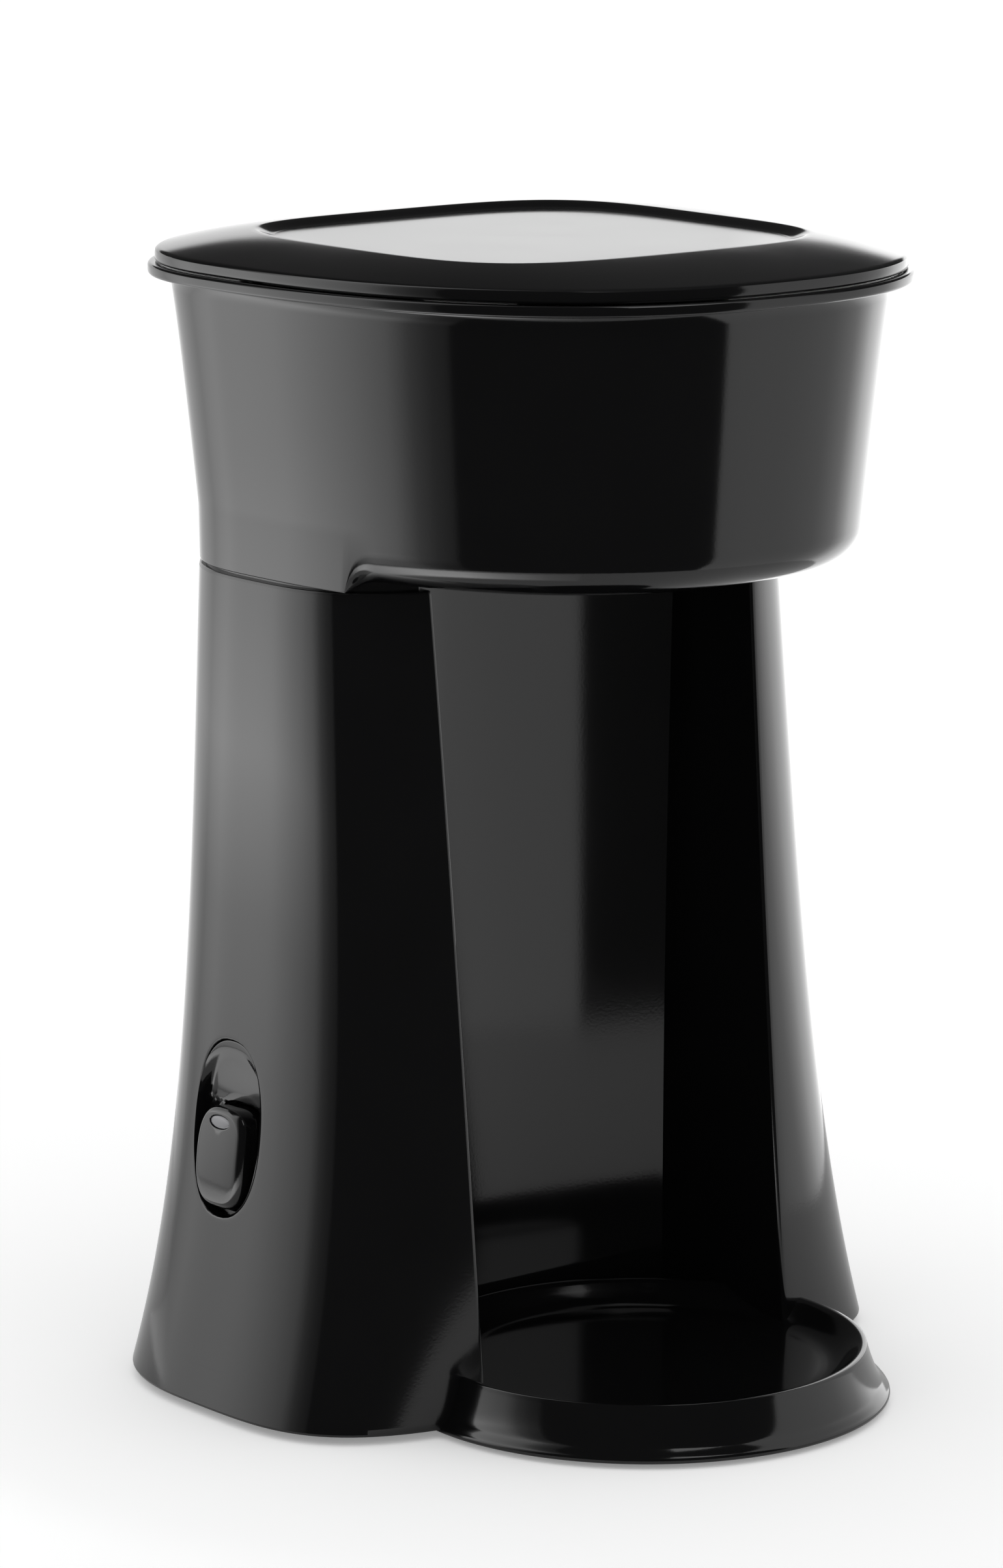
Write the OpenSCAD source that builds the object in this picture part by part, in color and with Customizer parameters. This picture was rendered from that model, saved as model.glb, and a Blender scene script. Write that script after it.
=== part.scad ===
// Single-cup drip coffee maker.
// The cup stands in a bay between two wings of the column, the brewing head overhangs it,
// and the whole top opens on a hinge at the rear.
// +Z is up, -Y is the front, and the origin is on the table under the middle of the machine.

/* [Head] */
// Half width of the rim at its widest line
rim_half_w = 81.9; // [80:0.1:84]
// Reach of the rim ahead of its widest line
rim_front = 108.8; // [106:0.1:112]
// Reach of the rim behind its widest line
rim_rear = 59.6; // [58.5:0.1:60.5]
// Place of the rim's widest line, front to back
rim_mid_y = 27; // [26.5:0.1:27.5]
// Squareness of the rim's outline, 2 is an ellipse
rim_power = 2.41; // [2.3:0.01:2.6]
// Height of the rim's top face
rim_top_z = 264.4; // [262:0.2:268]
// Height of the rim's edge band
rim_band = 2.7; // [2.4:0.1:3.2]
// How far the housing's wall stands inside the rim's edge, at the top
wall_top_inset = 4.8; // [4.6:0.1:6]
// How far the housing's wall stands inside the rim's edge, at the bottom
wall_low_inset = 10.9; // [10:0.1:12]
// Radius under the front edge of the head
sole_fillet = 8.5; // [5:0.1:10]
// Wall thickness of the casings
wall = 2.2; // [1.8:0.1:2.6]

/* [Lid] */
// Height of the lid's upright edge
lid_edge_h = 2.3; // [2:0.1:4]
// How far the lid's edge stands inside the rim's edge
lid_inset = 1.6; // [1:0.1:2.5]
// Height of the lid's crest above its upright edge
lid_crest_h = 3.8; // [3.6:0.1:7]
// Depth of the dish inside the crest
lid_dish = 1.5; // [1:0.1:3]
// Half width of the square that the crest runs round
lid_crest_w = 54.4; // [52:0.1:56]

/* [Column] */
// Half width of the column at the seam
column_top_w = 71.4; // [70.5:0.1:73]
// Half width of the column at the foot
column_foot_w = 90.5; // [88:0.1:93]
// Height of the seam, where the column meets the head
seam_z = 194.4; // [193:0.1:195]
// Height of the column's lower edge
foot_z = 2; // [1.6:0.1:3]
// Half width of the cup bay at the seam
bay_half_w = 47.7; // [47:0.1:48.5]
// Radius of the bay's gently curved rear wall
bay_r = 115; // [100:5:140]
// Place of the rear wall at the middle of the bay, front to back
bay_back_y = 24; // [23:0.1:24]

/* [Cup stand] */
// Radius of the stand's rim
stand_rim_r = 52.7; // [50:0.1:54]
// Radius of the stand's lower edge
stand_foot_r = 58.2; // [56:0.1:60]
// Height of the stand's rim
stand_rim_z = 13.6; // [12:0.1:15]
// Place of the cup's axis, front to back
cup_y = -32; // [-33:0.5:-31]

/* [Brewing parts] */
// Radius of the filter basket at its rim
basket_r = 33; // [31:0.5:33]
// Place of the outlet's axis, front to back
outlet_y = -23.5; // [-25:0.5:-23]
// Radius of the outlet nozzle under the head
nozzle_r = 19.5; // [17:0.5:20]
// Outer radius of the silicone hoses
hose_r = 7; // [6.5:0.1:7.2]
// Radius of the heater's horseshoe
heater_r = 20.5; // [19.5:0.5:21]

/* [Switch] */
// Width of the oval switch recess
recess_w = 25.5; // [24:0.5:28]
// Height of the oval switch recess
recess_h = 41.5; // [40:0.5:45]
// Width of the switch paddle
paddle_w = 17.4; // [16:0.1:18]
// Height of the switch paddle
paddle_h = 23.8; // [22:0.1:25]
// Height of the recess's middle above the table
recess_z = 66; // [62:0.1:70]

/* [Hidden] */
$fn = 48;
SIDES = 72;

gloss_black = [0.05, 0.05, 0.055];
liner_black = [0.09, 0.09, 0.1];
GAP = 0.3;
FIT = 0.05;

// ---------------------------------------------------------------- outlines

function smooth(u) = let (v = min(max(u, 0), 1)) v * v * (3 - 2 * v);
function polar_r(th, a, b, n) = pow(pow(abs(cos(th)) / a, n) + pow(abs(sin(th)) / b, n), -1 / n);

// One point of an outline that is widest on the line y = mid, with its own reach and
// squareness ahead of that line and behind it.
function edge_point(th, a, front, rear, mid, nf, nr) =
    let (ahead = sin(th) < 0)
    let (r = polar_r(th, a, ahead ? front : rear, ahead ? nf : nr))
    [r * cos(th), mid + r * sin(th)];

function rim_point(th, inset) =
    edge_point(th, rim_half_w - inset, rim_front - inset, rim_rear - inset,
        rim_mid_y, rim_power, rim_power);

function level(points, z) = [for (p = points) [p[0], p[1], z]];
function rim_ring(inset, z) = level([for (i = [0:SIDES - 1]) rim_point(360 * i / SIDES, inset)], z);

// A solid that joins rings of equal point count, from the first ring to the last.
module skin(rings) {
    n = len(rings[0]);
    m = len(rings);
    sides = [for (j = [0:m - 2], i = [0:n - 1], k = [0:1])
        let (a = j * n + i, b = j * n + (i + 1) % n)
        k == 0 ? [a, a + n, b + n] : [a, b + n, b]];
    caps = [[for (i = [0:n - 1]) i], [for (i = [n - 1:-1:0]) (m - 1) * n + i]];
    polyhedron(points = [for (ring = rings) each ring], faces = concat(caps, sides));
}

// ---------------------------------------------------------------- column form

column_mid_top = 25.6;
column_mid_foot = 24.6;
column_rear_top = 48.5;
column_rear_foot = 62.3;
front_reach_top = 43;
front_reach_foot = 57;
front_power_top = 3.4;
front_power_foot = 3.85;
rear_power = 2.53;

// How far down the column a height is: 0 at the seam and 1 at the foot.
function down(z) = (seam_z - z) / (seam_z - foot_z);
// The column widens slowly, and then quickly near the table.
function flare(t) = 0.38 * t + 0.62 * pow(max(t, 0), 4);
function mix(a, b, t) = a + (b - a) * t;

function column_point(th, z, inset) =
    let (t = down(z), f = flare(t))
    edge_point(th,
        mix(column_top_w, column_foot_w, f) - inset,
        mix(front_reach_top, front_reach_foot, t) - inset,
        mix(column_rear_top, column_rear_foot, f) - inset,
        mix(column_mid_top, column_mid_foot, t),
        mix(front_power_top, front_power_foot, t), rear_power);
function column_ring(z, inset) =
    level([for (i = [0:SIDES - 1]) column_point(360 * i / SIDES, z, inset)], z);

bay_taper = 4.35;
bay_flare = 2.46;
function bay_w(z) = let (t = down(z)) bay_half_w - bay_taper * t + bay_flare * t * t;

// The space of the cup bay: straight sides and a rear wall curved about an axis far in front.
bay_mid_y = bay_back_y - bay_r;
module bay_space(low, high, grow) {
    steps = 6;
    intersection() {
        translate([0, bay_mid_y, low]) cylinder(r = bay_r + grow, h = high - low, $fn = 180);
        skin([for (k = [0:steps])
            let (z = low - 1 + (high - low + 2) * k / steps, w = bay_w(z) + grow)
            [[-w, -120, z], [w, -120, z], [w, 60, z], [-w, 60, z]]]);
    }
}
module bay_plan(half, grow) {
    intersection() {
        translate([0, bay_mid_y]) circle(r = bay_r + grow, $fn = 180);
        translate([-half, -120]) square([2 * half, 180]);
    }
}

// The column's solid form without its hollow, its rings closer together near the foot.
module column_form(low, high, inset) {
    levels = 10;
    difference() {
        skin([for (k = [0:levels])
            let (s = k / levels) column_ring(low + (high - low) * (0.4 * s + 0.6 * s * s), inset)]);
        bay_space(low - 5, high + 5, inset);
    }
}

// ---------------------------------------------------------------- head

sole_z = 197.2;
floor_thick = 2.4;

// Inset of the housing's outer wall from the rim's edge at a height.
function wall_inset(z) =
    let (s = (rim_top_z - rim_band - z) / (rim_top_z - rim_band - sole_z - sole_fillet))
    wall_top_inset + (wall_low_inset - wall_top_inset) * pow(min(max(s, 0), 1), 0.85);

// 0 where the column stands under the wall, and 1 where the wall overhangs the bay.
function overhang(y) = smooth((-6 - y) / 16);

// One ring of the fillet under the wall: step 0 is its top and step 1 its lower edge.
function sole_ring(step, inset) = [for (i = [0:SIDES - 1])
    let (th = 360 * i / SIDES, r = 0.8 + (sole_fillet - 0.8) * overhang(rim_point(th, 12)[1]))
    let (p = rim_point(th, wall_low_inset + inset + r * (1 - cos(90 * step))))
    [p[0], p[1], sole_z + r * (1 - sin(90 * step))]];

hinge_y = 84;
hinge_z = rim_top_z + 0.3;
hinge_r = 2.8;
pin_r = 1.4;
lug_x = 20;
lug_w = 6;
column_screw_x = 58;
column_screw_y = [20, 57];
boss_r = 3.6;
pilot_r = 1.35;

// Four places of the screws that hold the head on the column.
module at_column_screws() {
    for (side = [-1, 1], y = column_screw_y)
        translate([side * (y > 40 ? column_screw_x - 12 : column_screw_x), y, 0]) children();
}

module head_shell() {
    top = rim_top_z - rim_band;
    wall_z = [for (k = [1:5]) sole_z + sole_fillet + (top - sole_z - sole_fillet) * k / 5];
    difference() {
        skin(concat(
            [for (k = [4:-1:0]) sole_ring(k / 4, 0)],
            [for (z = wall_z) rim_ring(wall_inset(z), z)],
            [rim_ring(0.5, top), rim_ring(0, top + 0.6), rim_ring(0, rim_top_z - 0.5),
                rim_ring(0.5, rim_top_z)]));
        skin([rim_ring(wall_low_inset + wall + 6, sole_z + floor_thick),
            rim_ring(wall_low_inset + wall, sole_z + 9),
            for (z = wall_z) rim_ring(wall_inset(z) + wall, z)]);
        skin([rim_ring(wall_top_inset + wall, top - 0.2),
            rim_ring(wall_top_inset + wall, rim_top_z + 1)]);
        skin([rim_ring(3.4, rim_top_z - 1.4), rim_ring(3.4, rim_top_z + 2)]);
    }
}

module neck_outline(inset) {
    difference() {
        polygon([for (i = [0:SIDES - 1]) column_point(360 * i / SIDES, seam_z, inset)]);
        bay_plan(bay_half_w + inset, inset);
    }
}

module upper_housing() color(gloss_black) {
    difference() {
        union() {
            difference() {
                head_shell();
                // notch in the rim for the lid's knuckle
                translate([-lug_x, hinge_y - hinge_r - 0.4, hinge_z - hinge_r - 0.4])
                    cube([2 * lug_x, 20, 10]);
            }
            // neck that stands on the column's upper edge
            translate([0, 0, seam_z]) linear_extrude(sole_z - seam_z + 0.6) difference() {
                neck_outline(1.8);
                neck_outline(4);
            }
            for (side = [-1, 1]) hinge_lug(side);
            at_column_screws() translate([0, 0, seam_z - 3.2]) cylinder(r = boss_r, h = 7);
        }
        for (side = [-1, 1])
            translate([side * (lug_x - 1), hinge_y, hinge_z]) rotate([0, side * 90, 0])
                cylinder(r = pin_r, h = lug_w + 2, $fn = 32);
        at_column_screws() translate([0, 0, seam_z - 4]) cylinder(r = pilot_r, h = 8, $fn = 24);
        // ways through the floor: the outlet, and the hoses and wires over the column
        translate([0, outlet_y, sole_z - 8]) cylinder(r = nozzle_r - 3, h = 14);
        translate([-25, hose_y - 9, sole_z - 5]) cube([50, 18, 10]);
    }
}

module hinge_lug(side) {
    translate([side * (lug_x + lug_w / 2), hinge_y, 0]) {
        translate([0, 0, hinge_z]) rotate([0, 90, 0])
            cylinder(r = hinge_r, h = lug_w, center = true, $fn = 32);
        translate([-lug_w / 2, 0.4 - hinge_r, rim_top_z - rim_band + 0.2])
            cube([lug_w, 2 * hinge_r - 0.8, rim_band]);
    }
}

// ---------------------------------------------------------------- water tub

tub_floor_z = 206;
tub_thick = 2;
divider_y = 10.4;
inlet_x = heater_r * cos(50);
hose_y = 34.1;
spigot_r = 4.9;
spigot_bore = 3.2;
standpipe_top = 249;

// The reservoir behind and the filter well in front are one moulding with a lip on the rim.
module water_tub() color(liner_black) {
    top = rim_top_z;
    low = tub_floor_z;
    difference() {
        union() {
            difference() {
                union() {
                    skin([for (z = [low, 225, 243, top - 1.4]) rim_ring(wall_inset(z) + wall + 1, z)]);
                    skin([rim_ring(3.7, top - 1.4), rim_ring(3.7, top)]);
                }
                difference() {
                    skin([for (z = [low + tub_thick, 225, 243, top + 1])
                        rim_ring(wall_inset(z) + wall + 1 + tub_thick, z)]);
                    translate([-100, divider_y, 0]) cube([200, tub_thick, 300]);
                }
                // the divider stops below the lid so that steam and overflow can pass
                translate([-100, divider_y - 1, standpipe_top + 0.6]) cube([200, 4, 20]);
                // notch in the lip round the hinge
                translate([-lug_x - lug_w - 0.3, hinge_y - hinge_r - 0.4, top - 2])
                    cube([2 * (lug_x + lug_w) + 0.6, 12, 4]);
            }
            // collar that the filter basket stands on
            translate([0, outlet_y, tub_floor_z]) cylinder(r = 20, h = 4);
            for (side = [-1, 1]) translate([side * inlet_x, hose_y, 186]) cylinder(r = spigot_r, h = 22);
            translate([-inlet_x, hose_y, tub_floor_z]) cylinder(r = spigot_r, h = standpipe_top - tub_floor_z);
        }
        for (side = [-1, 1])
            translate([side * inlet_x, hose_y, 180]) cylinder(r = spigot_bore, h = side < 0 ? 80 : 40);
        translate([0, outlet_y, 200]) cylinder(r = 9, h = 16);
        // seat of the strainer
        translate([inlet_x, hose_y, tub_floor_z + 0.8]) cylinder(r = 6, h = 4);
    }
}

module inlet_strainer() color("silver") {
    translate([inlet_x, hose_y, tub_floor_z + 0.8]) difference() {
        cylinder(r = 5.9, h = 1.2);
        for (ring = [[0, 1], [2.2, 6], [4.2, 10]], k = [0:ring[1] - 1])
            rotate([0, 0, 360 * k / ring[1]]) translate([ring[0], 0, -1])
                cylinder(r = 0.55, h = 4, $fn = 16);
    }
}

module check_valve() color("whitesmoke") {
    translate([inlet_x, hose_y, 168]) {
        difference() {
            cylinder(r = 4.8, h = 12);
            translate([0, 0, 5]) cylinder(r = 3.2, h = 8);
            translate([-0.3, -2.4, -1]) cube([0.6, 4.8, 8]);
        }
    }
}

// ---------------------------------------------------------------- lid

lid_low_z = rim_top_z + GAP;
lid_edge_z = lid_low_z + lid_edge_h;
lid_mid = [0, 9.5];
lid_crest_z = lid_edge_z + lid_crest_h;
crest_power = 4;
crest_slope = 5;
lid_back_y = 75.5;
lid_thick = 2;

// Height of the lid's top between its edge (0) and its crest (1).
function shoulder_z(x) =
    lid_edge_z + lid_crest_h * (0.15 * sqrt(min(x / 0.03, 1)) + 0.85 * pow(sin(90 * x), 1.3));

// A ring of the lid's top, from a reach outside the crest to one inside it. The crest is a
// rounded square about the lid's middle.
function lid_ring(inset, z, out, share) = [for (i = [0:SIDES - 1])
    let (p = rim_point(360 * i / SIDES, inset), d = [p[0] - lid_mid[0], p[1] - lid_mid[1]])
    let (reach = norm(d), crest = polar_r(atan2(d[1], d[0]), lid_crest_w, lid_crest_w, crest_power))
    let (r = out ? reach + (crest - reach) * share : (crest - crest_slope * min(share, 1)) * min(2 - share, 1))
    [lid_mid[0] + d[0] * r / reach, lid_mid[1] + d[1] * r / reach, z]];

module lid_form(inset, sink, low) {
    skin(concat(
        [rim_ring(inset, low), rim_ring(inset, lid_edge_z - sink - 0.3)],
        [for (x = [0.03, 0.09, 0.18, 0.3, 0.45, 0.65, 0.85, 1])
            lid_ring(inset, shoulder_z(x) - sink, true, x)],
        // down the slope inside the crest, and then over the dish to its middle
        [for (x = [0.25, 0.5, 0.75, 1])
            lid_ring(inset, lid_crest_z - lid_dish * smooth(x) - sink, false, x)],
        [for (x = [1.3, 1.7, 1.98]) lid_ring(inset, lid_crest_z - lid_dish - 0.1 * (x - 1) - sink, false, x)]));
}

module lid() color(gloss_black) {
    difference() {
        union() {
            difference() {
                lid_form(lid_inset, 0, lid_low_z);
                difference() {
                    lid_form(lid_inset + lid_thick, lid_thick, lid_low_z - 1);
                    translate([-100, lid_back_y - lid_thick, 200]) cube([200, 30, 100]);
                    for (p = liner_posts) translate([p[0], p[1], 200]) cylinder(r = 3, h = 100, $fn = 24);
                }
                translate([-100, lid_back_y, 200]) cube([200, 30, 100]);
                for (p = liner_posts) translate([p[0], p[1], 200]) cylinder(r = 4, h = liner_top - 200);
            }
            lid_knuckle();
        }
        translate([-lug_x, hinge_y, hinge_z]) rotate([0, 90, 0])
            cylinder(r = pin_r + FIT, h = 2 * lug_x, $fn = 32);
    }
}

module lid_knuckle() {
    w = 2 * lug_x - 0.8;
    translate([-w / 2, hinge_y, hinge_z]) rotate([0, 90, 0]) cylinder(r = hinge_r, h = w, $fn = 32);
    translate([-w / 2, lid_back_y - 0.5, lid_low_z]) cube([w, hinge_y - lid_back_y + 0.5, 2]);
}

module hinge_pin() color("silver") {
    translate([-lug_x - lug_w, hinge_y, hinge_z]) rotate([0, 90, 0])
        cylinder(r = pin_r, h = 2 * (lug_x + lug_w), $fn = 32);
}

liner_low = lid_low_z + 0.3;
liner_top = liner_low + 1.4;
liner_inset = 14;
liner_posts = [[-42, 10], [42, 10], [0, -32], [0, 51]];

// The liner keeps steam off the lid's dome, and its rim sheds the drips into the tub.
module lid_liner() color(liner_black) {
    difference() {
        union() {
            skin([rim_ring(liner_inset, liner_low), rim_ring(liner_inset, liner_top)]);
            translate([0, outlet_y, liner_low - 2.6]) cylinder(r = 24, h = 2.7);
        }
        translate([0, outlet_y, liner_low - 3]) cylinder(r = 22.4, h = 2.8);
        translate([-100, lid_back_y - 5, 200]) cube([200, 30, 100]);
    }
}

// ---------------------------------------------------------------- filter parts

basket_low = 212;
basket_top = 243;

// Funnel with a drip tube and a rim, open at the top.
module filter_basket() color(liner_black) {
    translate([0, outlet_y, 0]) difference() {
        rotate_extrude($fn = 64) polygon([[3, 200], [5, 200], [5, basket_low - 2], [22, basket_low - 2],
            [basket_r - 2, basket_top - 2], [basket_r, basket_top - 2], [basket_r, basket_top],
            [basket_r - 3.4, basket_top], [21, basket_low + 0.4], [3, basket_low]]);
    }
}

// Permanent filter: a steel gauze cup in a moulded rim.
module mesh_filter() color("silver") {
    translate([0, outlet_y, 0]) {
        rotate_extrude($fn = 64) polygon([[0, basket_low + 4], [19.6, basket_low + 4],
            [basket_r - 5.6, basket_top], [basket_r - 1, basket_top],
            [basket_r - 1, basket_top + 1.6], [basket_r - 6.6, basket_top + 1.6],
            [18.8, basket_low + 4.8], [0, basket_low + 4.8]]);
    }
}

// Folding grip of the permanent filter, a flat bow that lies on its rim.
module filter_handle() color(liner_black) {
    z = basket_top + 1.6;
    translate([0, outlet_y, z]) difference() {
        cylinder(r = basket_r - 2.2, h = 1.6, $fn = 64);
        translate([0, 0, -1]) cylinder(r = basket_r - 5.6, h = 4, $fn = 64);
        translate([-50, -60, -1]) cube([100, 52, 4]);
    }
}

// Fixed arm that carries the hot water from the standpipe to a shower plate over the filter.
module shower_arm() color(liner_black) {
    arm = [inlet_x, outlet_y - hose_y];
    reach = norm(arm);
    difference() {
        union() {
            translate([-inlet_x, hose_y, standpipe_top - 6]) cylinder(r = 7, h = 12);
            translate([-inlet_x, hose_y, standpipe_top + 2]) rotate([0, 0, atan2(arm[1], arm[0])])
                translate([0, -5, 0]) cube([reach, 10, 4]);
            translate([0, outlet_y, standpipe_top]) cylinder(r = 13, h = 6);
        }
        translate([-inlet_x, hose_y, standpipe_top - 7]) cylinder(r = spigot_r + FIT, h = 7);
        translate([-inlet_x, hose_y, standpipe_top - 1]) cylinder(r = 3.2, h = 4);
        translate([-inlet_x, hose_y, standpipe_top + 2.8]) rotate([0, 0, atan2(arm[1], arm[0])])
            translate([0, -3, 0]) cube([reach, 6, 2]);
        for (k = [0:5]) translate([8 * cos(60 * k), outlet_y + 8 * sin(60 * k), standpipe_top - 1])
            cylinder(r = 1, h = 5, $fn = 16);
    }
}

// Round nozzle that closes the floor of the head over the cup.
module outlet_nozzle() color(gloss_black) {
    low = sole_z - 1.6;
    translate([0, outlet_y, 0]) rotate_extrude($fn = 64) polygon([[4, low + 0.6], [4.6, low],
        [nozzle_r - 0.8, low], [nozzle_r, low + 0.8], [nozzle_r, sole_z], [nozzle_r - 3.1, sole_z],
        [nozzle_r - 3.1, sole_z + floor_thick], [nozzle_r - 5, sole_z + floor_thick],
        [nozzle_r - 5.4, sole_z + 1], [4, sole_z + 0.4]]);
}

// ---------------------------------------------------------------- column parts

foot_screws = [[-62, 62], [62, 62], [-70, -14], [70, -14]];
gland_x = 34;
gland_y = 82.6;
gland_z = 22;
gland_r = 5.4;

// Local frame of the switch: its origin is on the flank, +Z points out of the machine,
// +X runs down the flank and +Y towards the rear.
switch_tilt = 6.4;
switch_y = 25.1;
module at_switch() {
    translate([-column_point(0, recess_z, 0)[0], switch_y, recess_z]) rotate([0, -90 + switch_tilt, 0])
        rotate([0, 0, 180]) mirror([0, 1, 0]) children();
}

function oval(w, h, n) = [for (i = [0:47])
    let (th = 7.5 * i, r = polar_r(th, h / 2, w / 2, n)) [r * cos(th), r * sin(th)]];

module column_shell() color(gloss_black) {
    difference() {
        union() {
            difference() {
                column_form(foot_z, seam_z, 0);
                column_form(foot_z - 4, seam_z + 4, wall);
            }
            intersection() {
                column_form(foot_z, seam_z - 0.5, 1);
                union() {
                    // bosses for the base screws, each on a rib from the wall
                    for (p = foot_screws) {
                        translate([p[0], p[1], base_low + base_thick]) cylinder(r = boss_r, h = 12);
                        translate([p[0] > 0 ? p[0] : p[0] - 26, p[1] - 1, 7]) cube([26, 2, 10]);
                    }
                    // lugs for the head screws
                    at_column_screws() translate([0, 0, seam_z - 6]) cylinder(r = 5, h = 2.8);
                    for (side = [-1, 1], y = column_screw_y)
                        translate([side > 0 ? 46 : -76, y - 3, seam_z - 6]) cube([30, 6, 2.8]);
                    // frame behind the switch
                    at_switch() translate([0, 0, -8]) linear_extrude(8)
                        polygon(oval(recess_w + 5, recess_h + 5, 2.6));
                }
            }
            // flat pad round the cord's way out
            translate([gland_x, gland_y - 6, gland_z]) rotate([-90, 0, 0]) cylinder(r = 9, h = 6);
        }
        for (p = foot_screws) translate([p[0], p[1], 4]) cylinder(r = pilot_r, h = 12, $fn = 24);
        at_column_screws() translate([0, 0, seam_z - 8]) cylinder(r = 1.9, h = 8, $fn = 24);
        at_switch() translate([0, 0, -20]) linear_extrude(30) polygon(oval(recess_w, recess_h, 2.6));
        // the bay's wall stops on the base plate's bridge
        translate([-31, 0, 0]) cube([62, 30, base_low + base_thick]);
        translate([gland_x, gland_y - 10, gland_z]) rotate([-90, 0, 0]) cylinder(r = gland_r + FIT, h = 20);
    }
}

// Round stand with a dished top, cut to fit between and against the wings.
module cup_stand() color(gloss_black) {
    rim = stand_rim_z;
    difference() {
        translate([0, cup_y, 0]) rotate_extrude($fn = 96) polygon(concat(
            [[stand_foot_r - 0.6, 1.2], [stand_foot_r, 1.8], [stand_foot_r, 2.8]],
            [for (k = [0:6]) let (s = k / 6)
                [stand_foot_r - 0.9 - (stand_foot_r - stand_rim_r - 0.9) * pow(s, 0.6),
                    3.2 + (rim - 0.4 - 3.2) * s]],
            [[stand_rim_r - 0.5, rim], [stand_rim_r - 1.4, rim - 0.1], [46.5, 9.2], [43.5, 8.2], [0, 8.2],
                [0, 6.4], [44.6, 6.4], [50, rim - 2.6], [stand_foot_r - 3, 3.2], [stand_foot_r - 3, 1.2]]));
        column_form(foot_z - 3, 40, -0.02);
    }
    // pegs staked through the base plate
    for (p = stand_pegs) translate([p[0], p[1], base_low]) cylinder(r = 3, h = 4.6);
}

base_low = 3;
base_thick = 2;
plate_inset = 3.2;
stand_pegs = [[0, -66], [-34, -34], [34, -34]];

module base_plate() color([0.07, 0.07, 0.07]) {
    outline = [for (i = [0:SIDES - 1]) column_point(360 * i / SIDES, foot_z + 2, plate_inset)];
    half = bay_w(foot_z);
    difference() {
        translate([0, 0, base_low]) linear_extrude(base_thick) union() {
            difference() {
                polygon(outline);
                bay_plan(half + wall + 0.4, wall + 0.4);
            }
            translate([0, cup_y]) intersection() {
                circle(r = stand_foot_r - 4.6, $fn = 96);
                translate([-half + 0.6, -60]) square([2 * half - 1.2, 120]);
            }
            // floor of the bay behind the stand, and the bridge under the bay's wall
            intersection() {
                translate([0.6 - half, 0]) square([2 * half - 1.2, 40]);
                bay_plan(half, -0.4);
            }
            translate([-30, 10]) square([60, 28]);
        }
        for (p = foot_screws) translate([p[0], p[1], 0]) cylinder(r = 1.7, h = 10, $fn = 24);
        for (p = stand_pegs) translate([p[0], p[1], 0]) cylinder(r = 3 + FIT, h = 10, $fn = 32);
        for (side = [-1, 1]) translate([side * (heater_r + 12), heater_y, 0])
            cylinder(r = pilot_r, h = 40, $fn = 24);
        // slots that let air in under the heater
        for (k = [-3:3]) translate([k * 9 - 1.5, 48, 0]) cube([3, 28, 10]);
    }
}

feet_places = [[-77, 44], [77, 44], [-75, -2], [75, -2], [0, -79]];

module rubber_feet() color([0.12, 0.12, 0.12]) {
    for (p = feet_places) translate([p[0], p[1], 0]) rotate_extrude($fn = 32)
        polygon([[0, 0], [5.4, 0], [6, 0.6], [6, base_low], [0, base_low]]);
}

// Pan-head screws, head down, with a plain shank in the pilot hole.
module screw(head_z, shank, up) {
    translate([0, 0, head_z]) mirror([0, 0, up ? 0 : 1]) {
        difference() {
            translate([0, 0, -1.6]) cylinder(r = 2.9, h = 1.6, $fn = 32);
            translate([-2, -0.4, -1.9]) cube([4, 0.8, 0.9]);
            translate([-0.4, -2, -1.9]) cube([0.8, 4, 0.9]);
        }
        cylinder(r = pilot_r - FIT, h = shank, $fn = 24);
    }
}

module base_screws() color("silver") {
    for (p = foot_screws) translate([p[0], p[1], 0]) screw(base_low, 11, true);
}

module head_screws() color("silver") {
    at_column_screws() screw(seam_z - 6, 8.5, true);
}

// ---------------------------------------------------------------- switch

well_w = paddle_w + 1.6;
well_h = paddle_h + 1.8;
paddle_x = 6.9;
lens_x = -1.5;
pivot_depth = -5.6;
face_r = 90;
face_proud = 2.6;

// Oval insert: a scoop above the paddle, and a sunk floor with the paddle's well.
module switch_bezel() color(gloss_black) {
    half = recess_h / 2;
    top = paddle_x - well_h / 2;
    at_switch() difference() {
        translate([0, 0, -8]) linear_extrude(7.8) polygon(oval(recess_w - 0.1, recess_h - 0.1, 2.6));
        intersection() {
            rotate([90, 0, 0]) linear_extrude(recess_w, center = true) polygon([
                [-half, 2], [-half + 0.8, -0.2], [-half + 3, -1.2], [-half + 6, -2.4], [-half + 9, -3.3],
                [top - 3, -4.1], [top + 2, -4.3], [top + 2, -3.4], [half - 1.6, -3.4], [half - 1.2, 2]]);
            translate([0, 0, -7]) linear_extrude(10) polygon(oval(recess_w - 1.6, recess_h - 1.6, 2.6));
        }
        translate([paddle_x, 0, -20]) linear_extrude(30) polygon(oval(well_w, well_h, 4));
        translate([paddle_x, 0, pivot_depth]) rotate([90, 0, 0])
            cylinder(r = 1.25, h = well_w + 3.6, center = true, $fn = 24);
    }
}

module face_curve(sink) {
    translate([paddle_x, 0, face_proud - face_r - sink]) rotate([90, 0, 0])
        cylinder(r = face_r, h = 40, center = true, $fn = 180);
}

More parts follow.
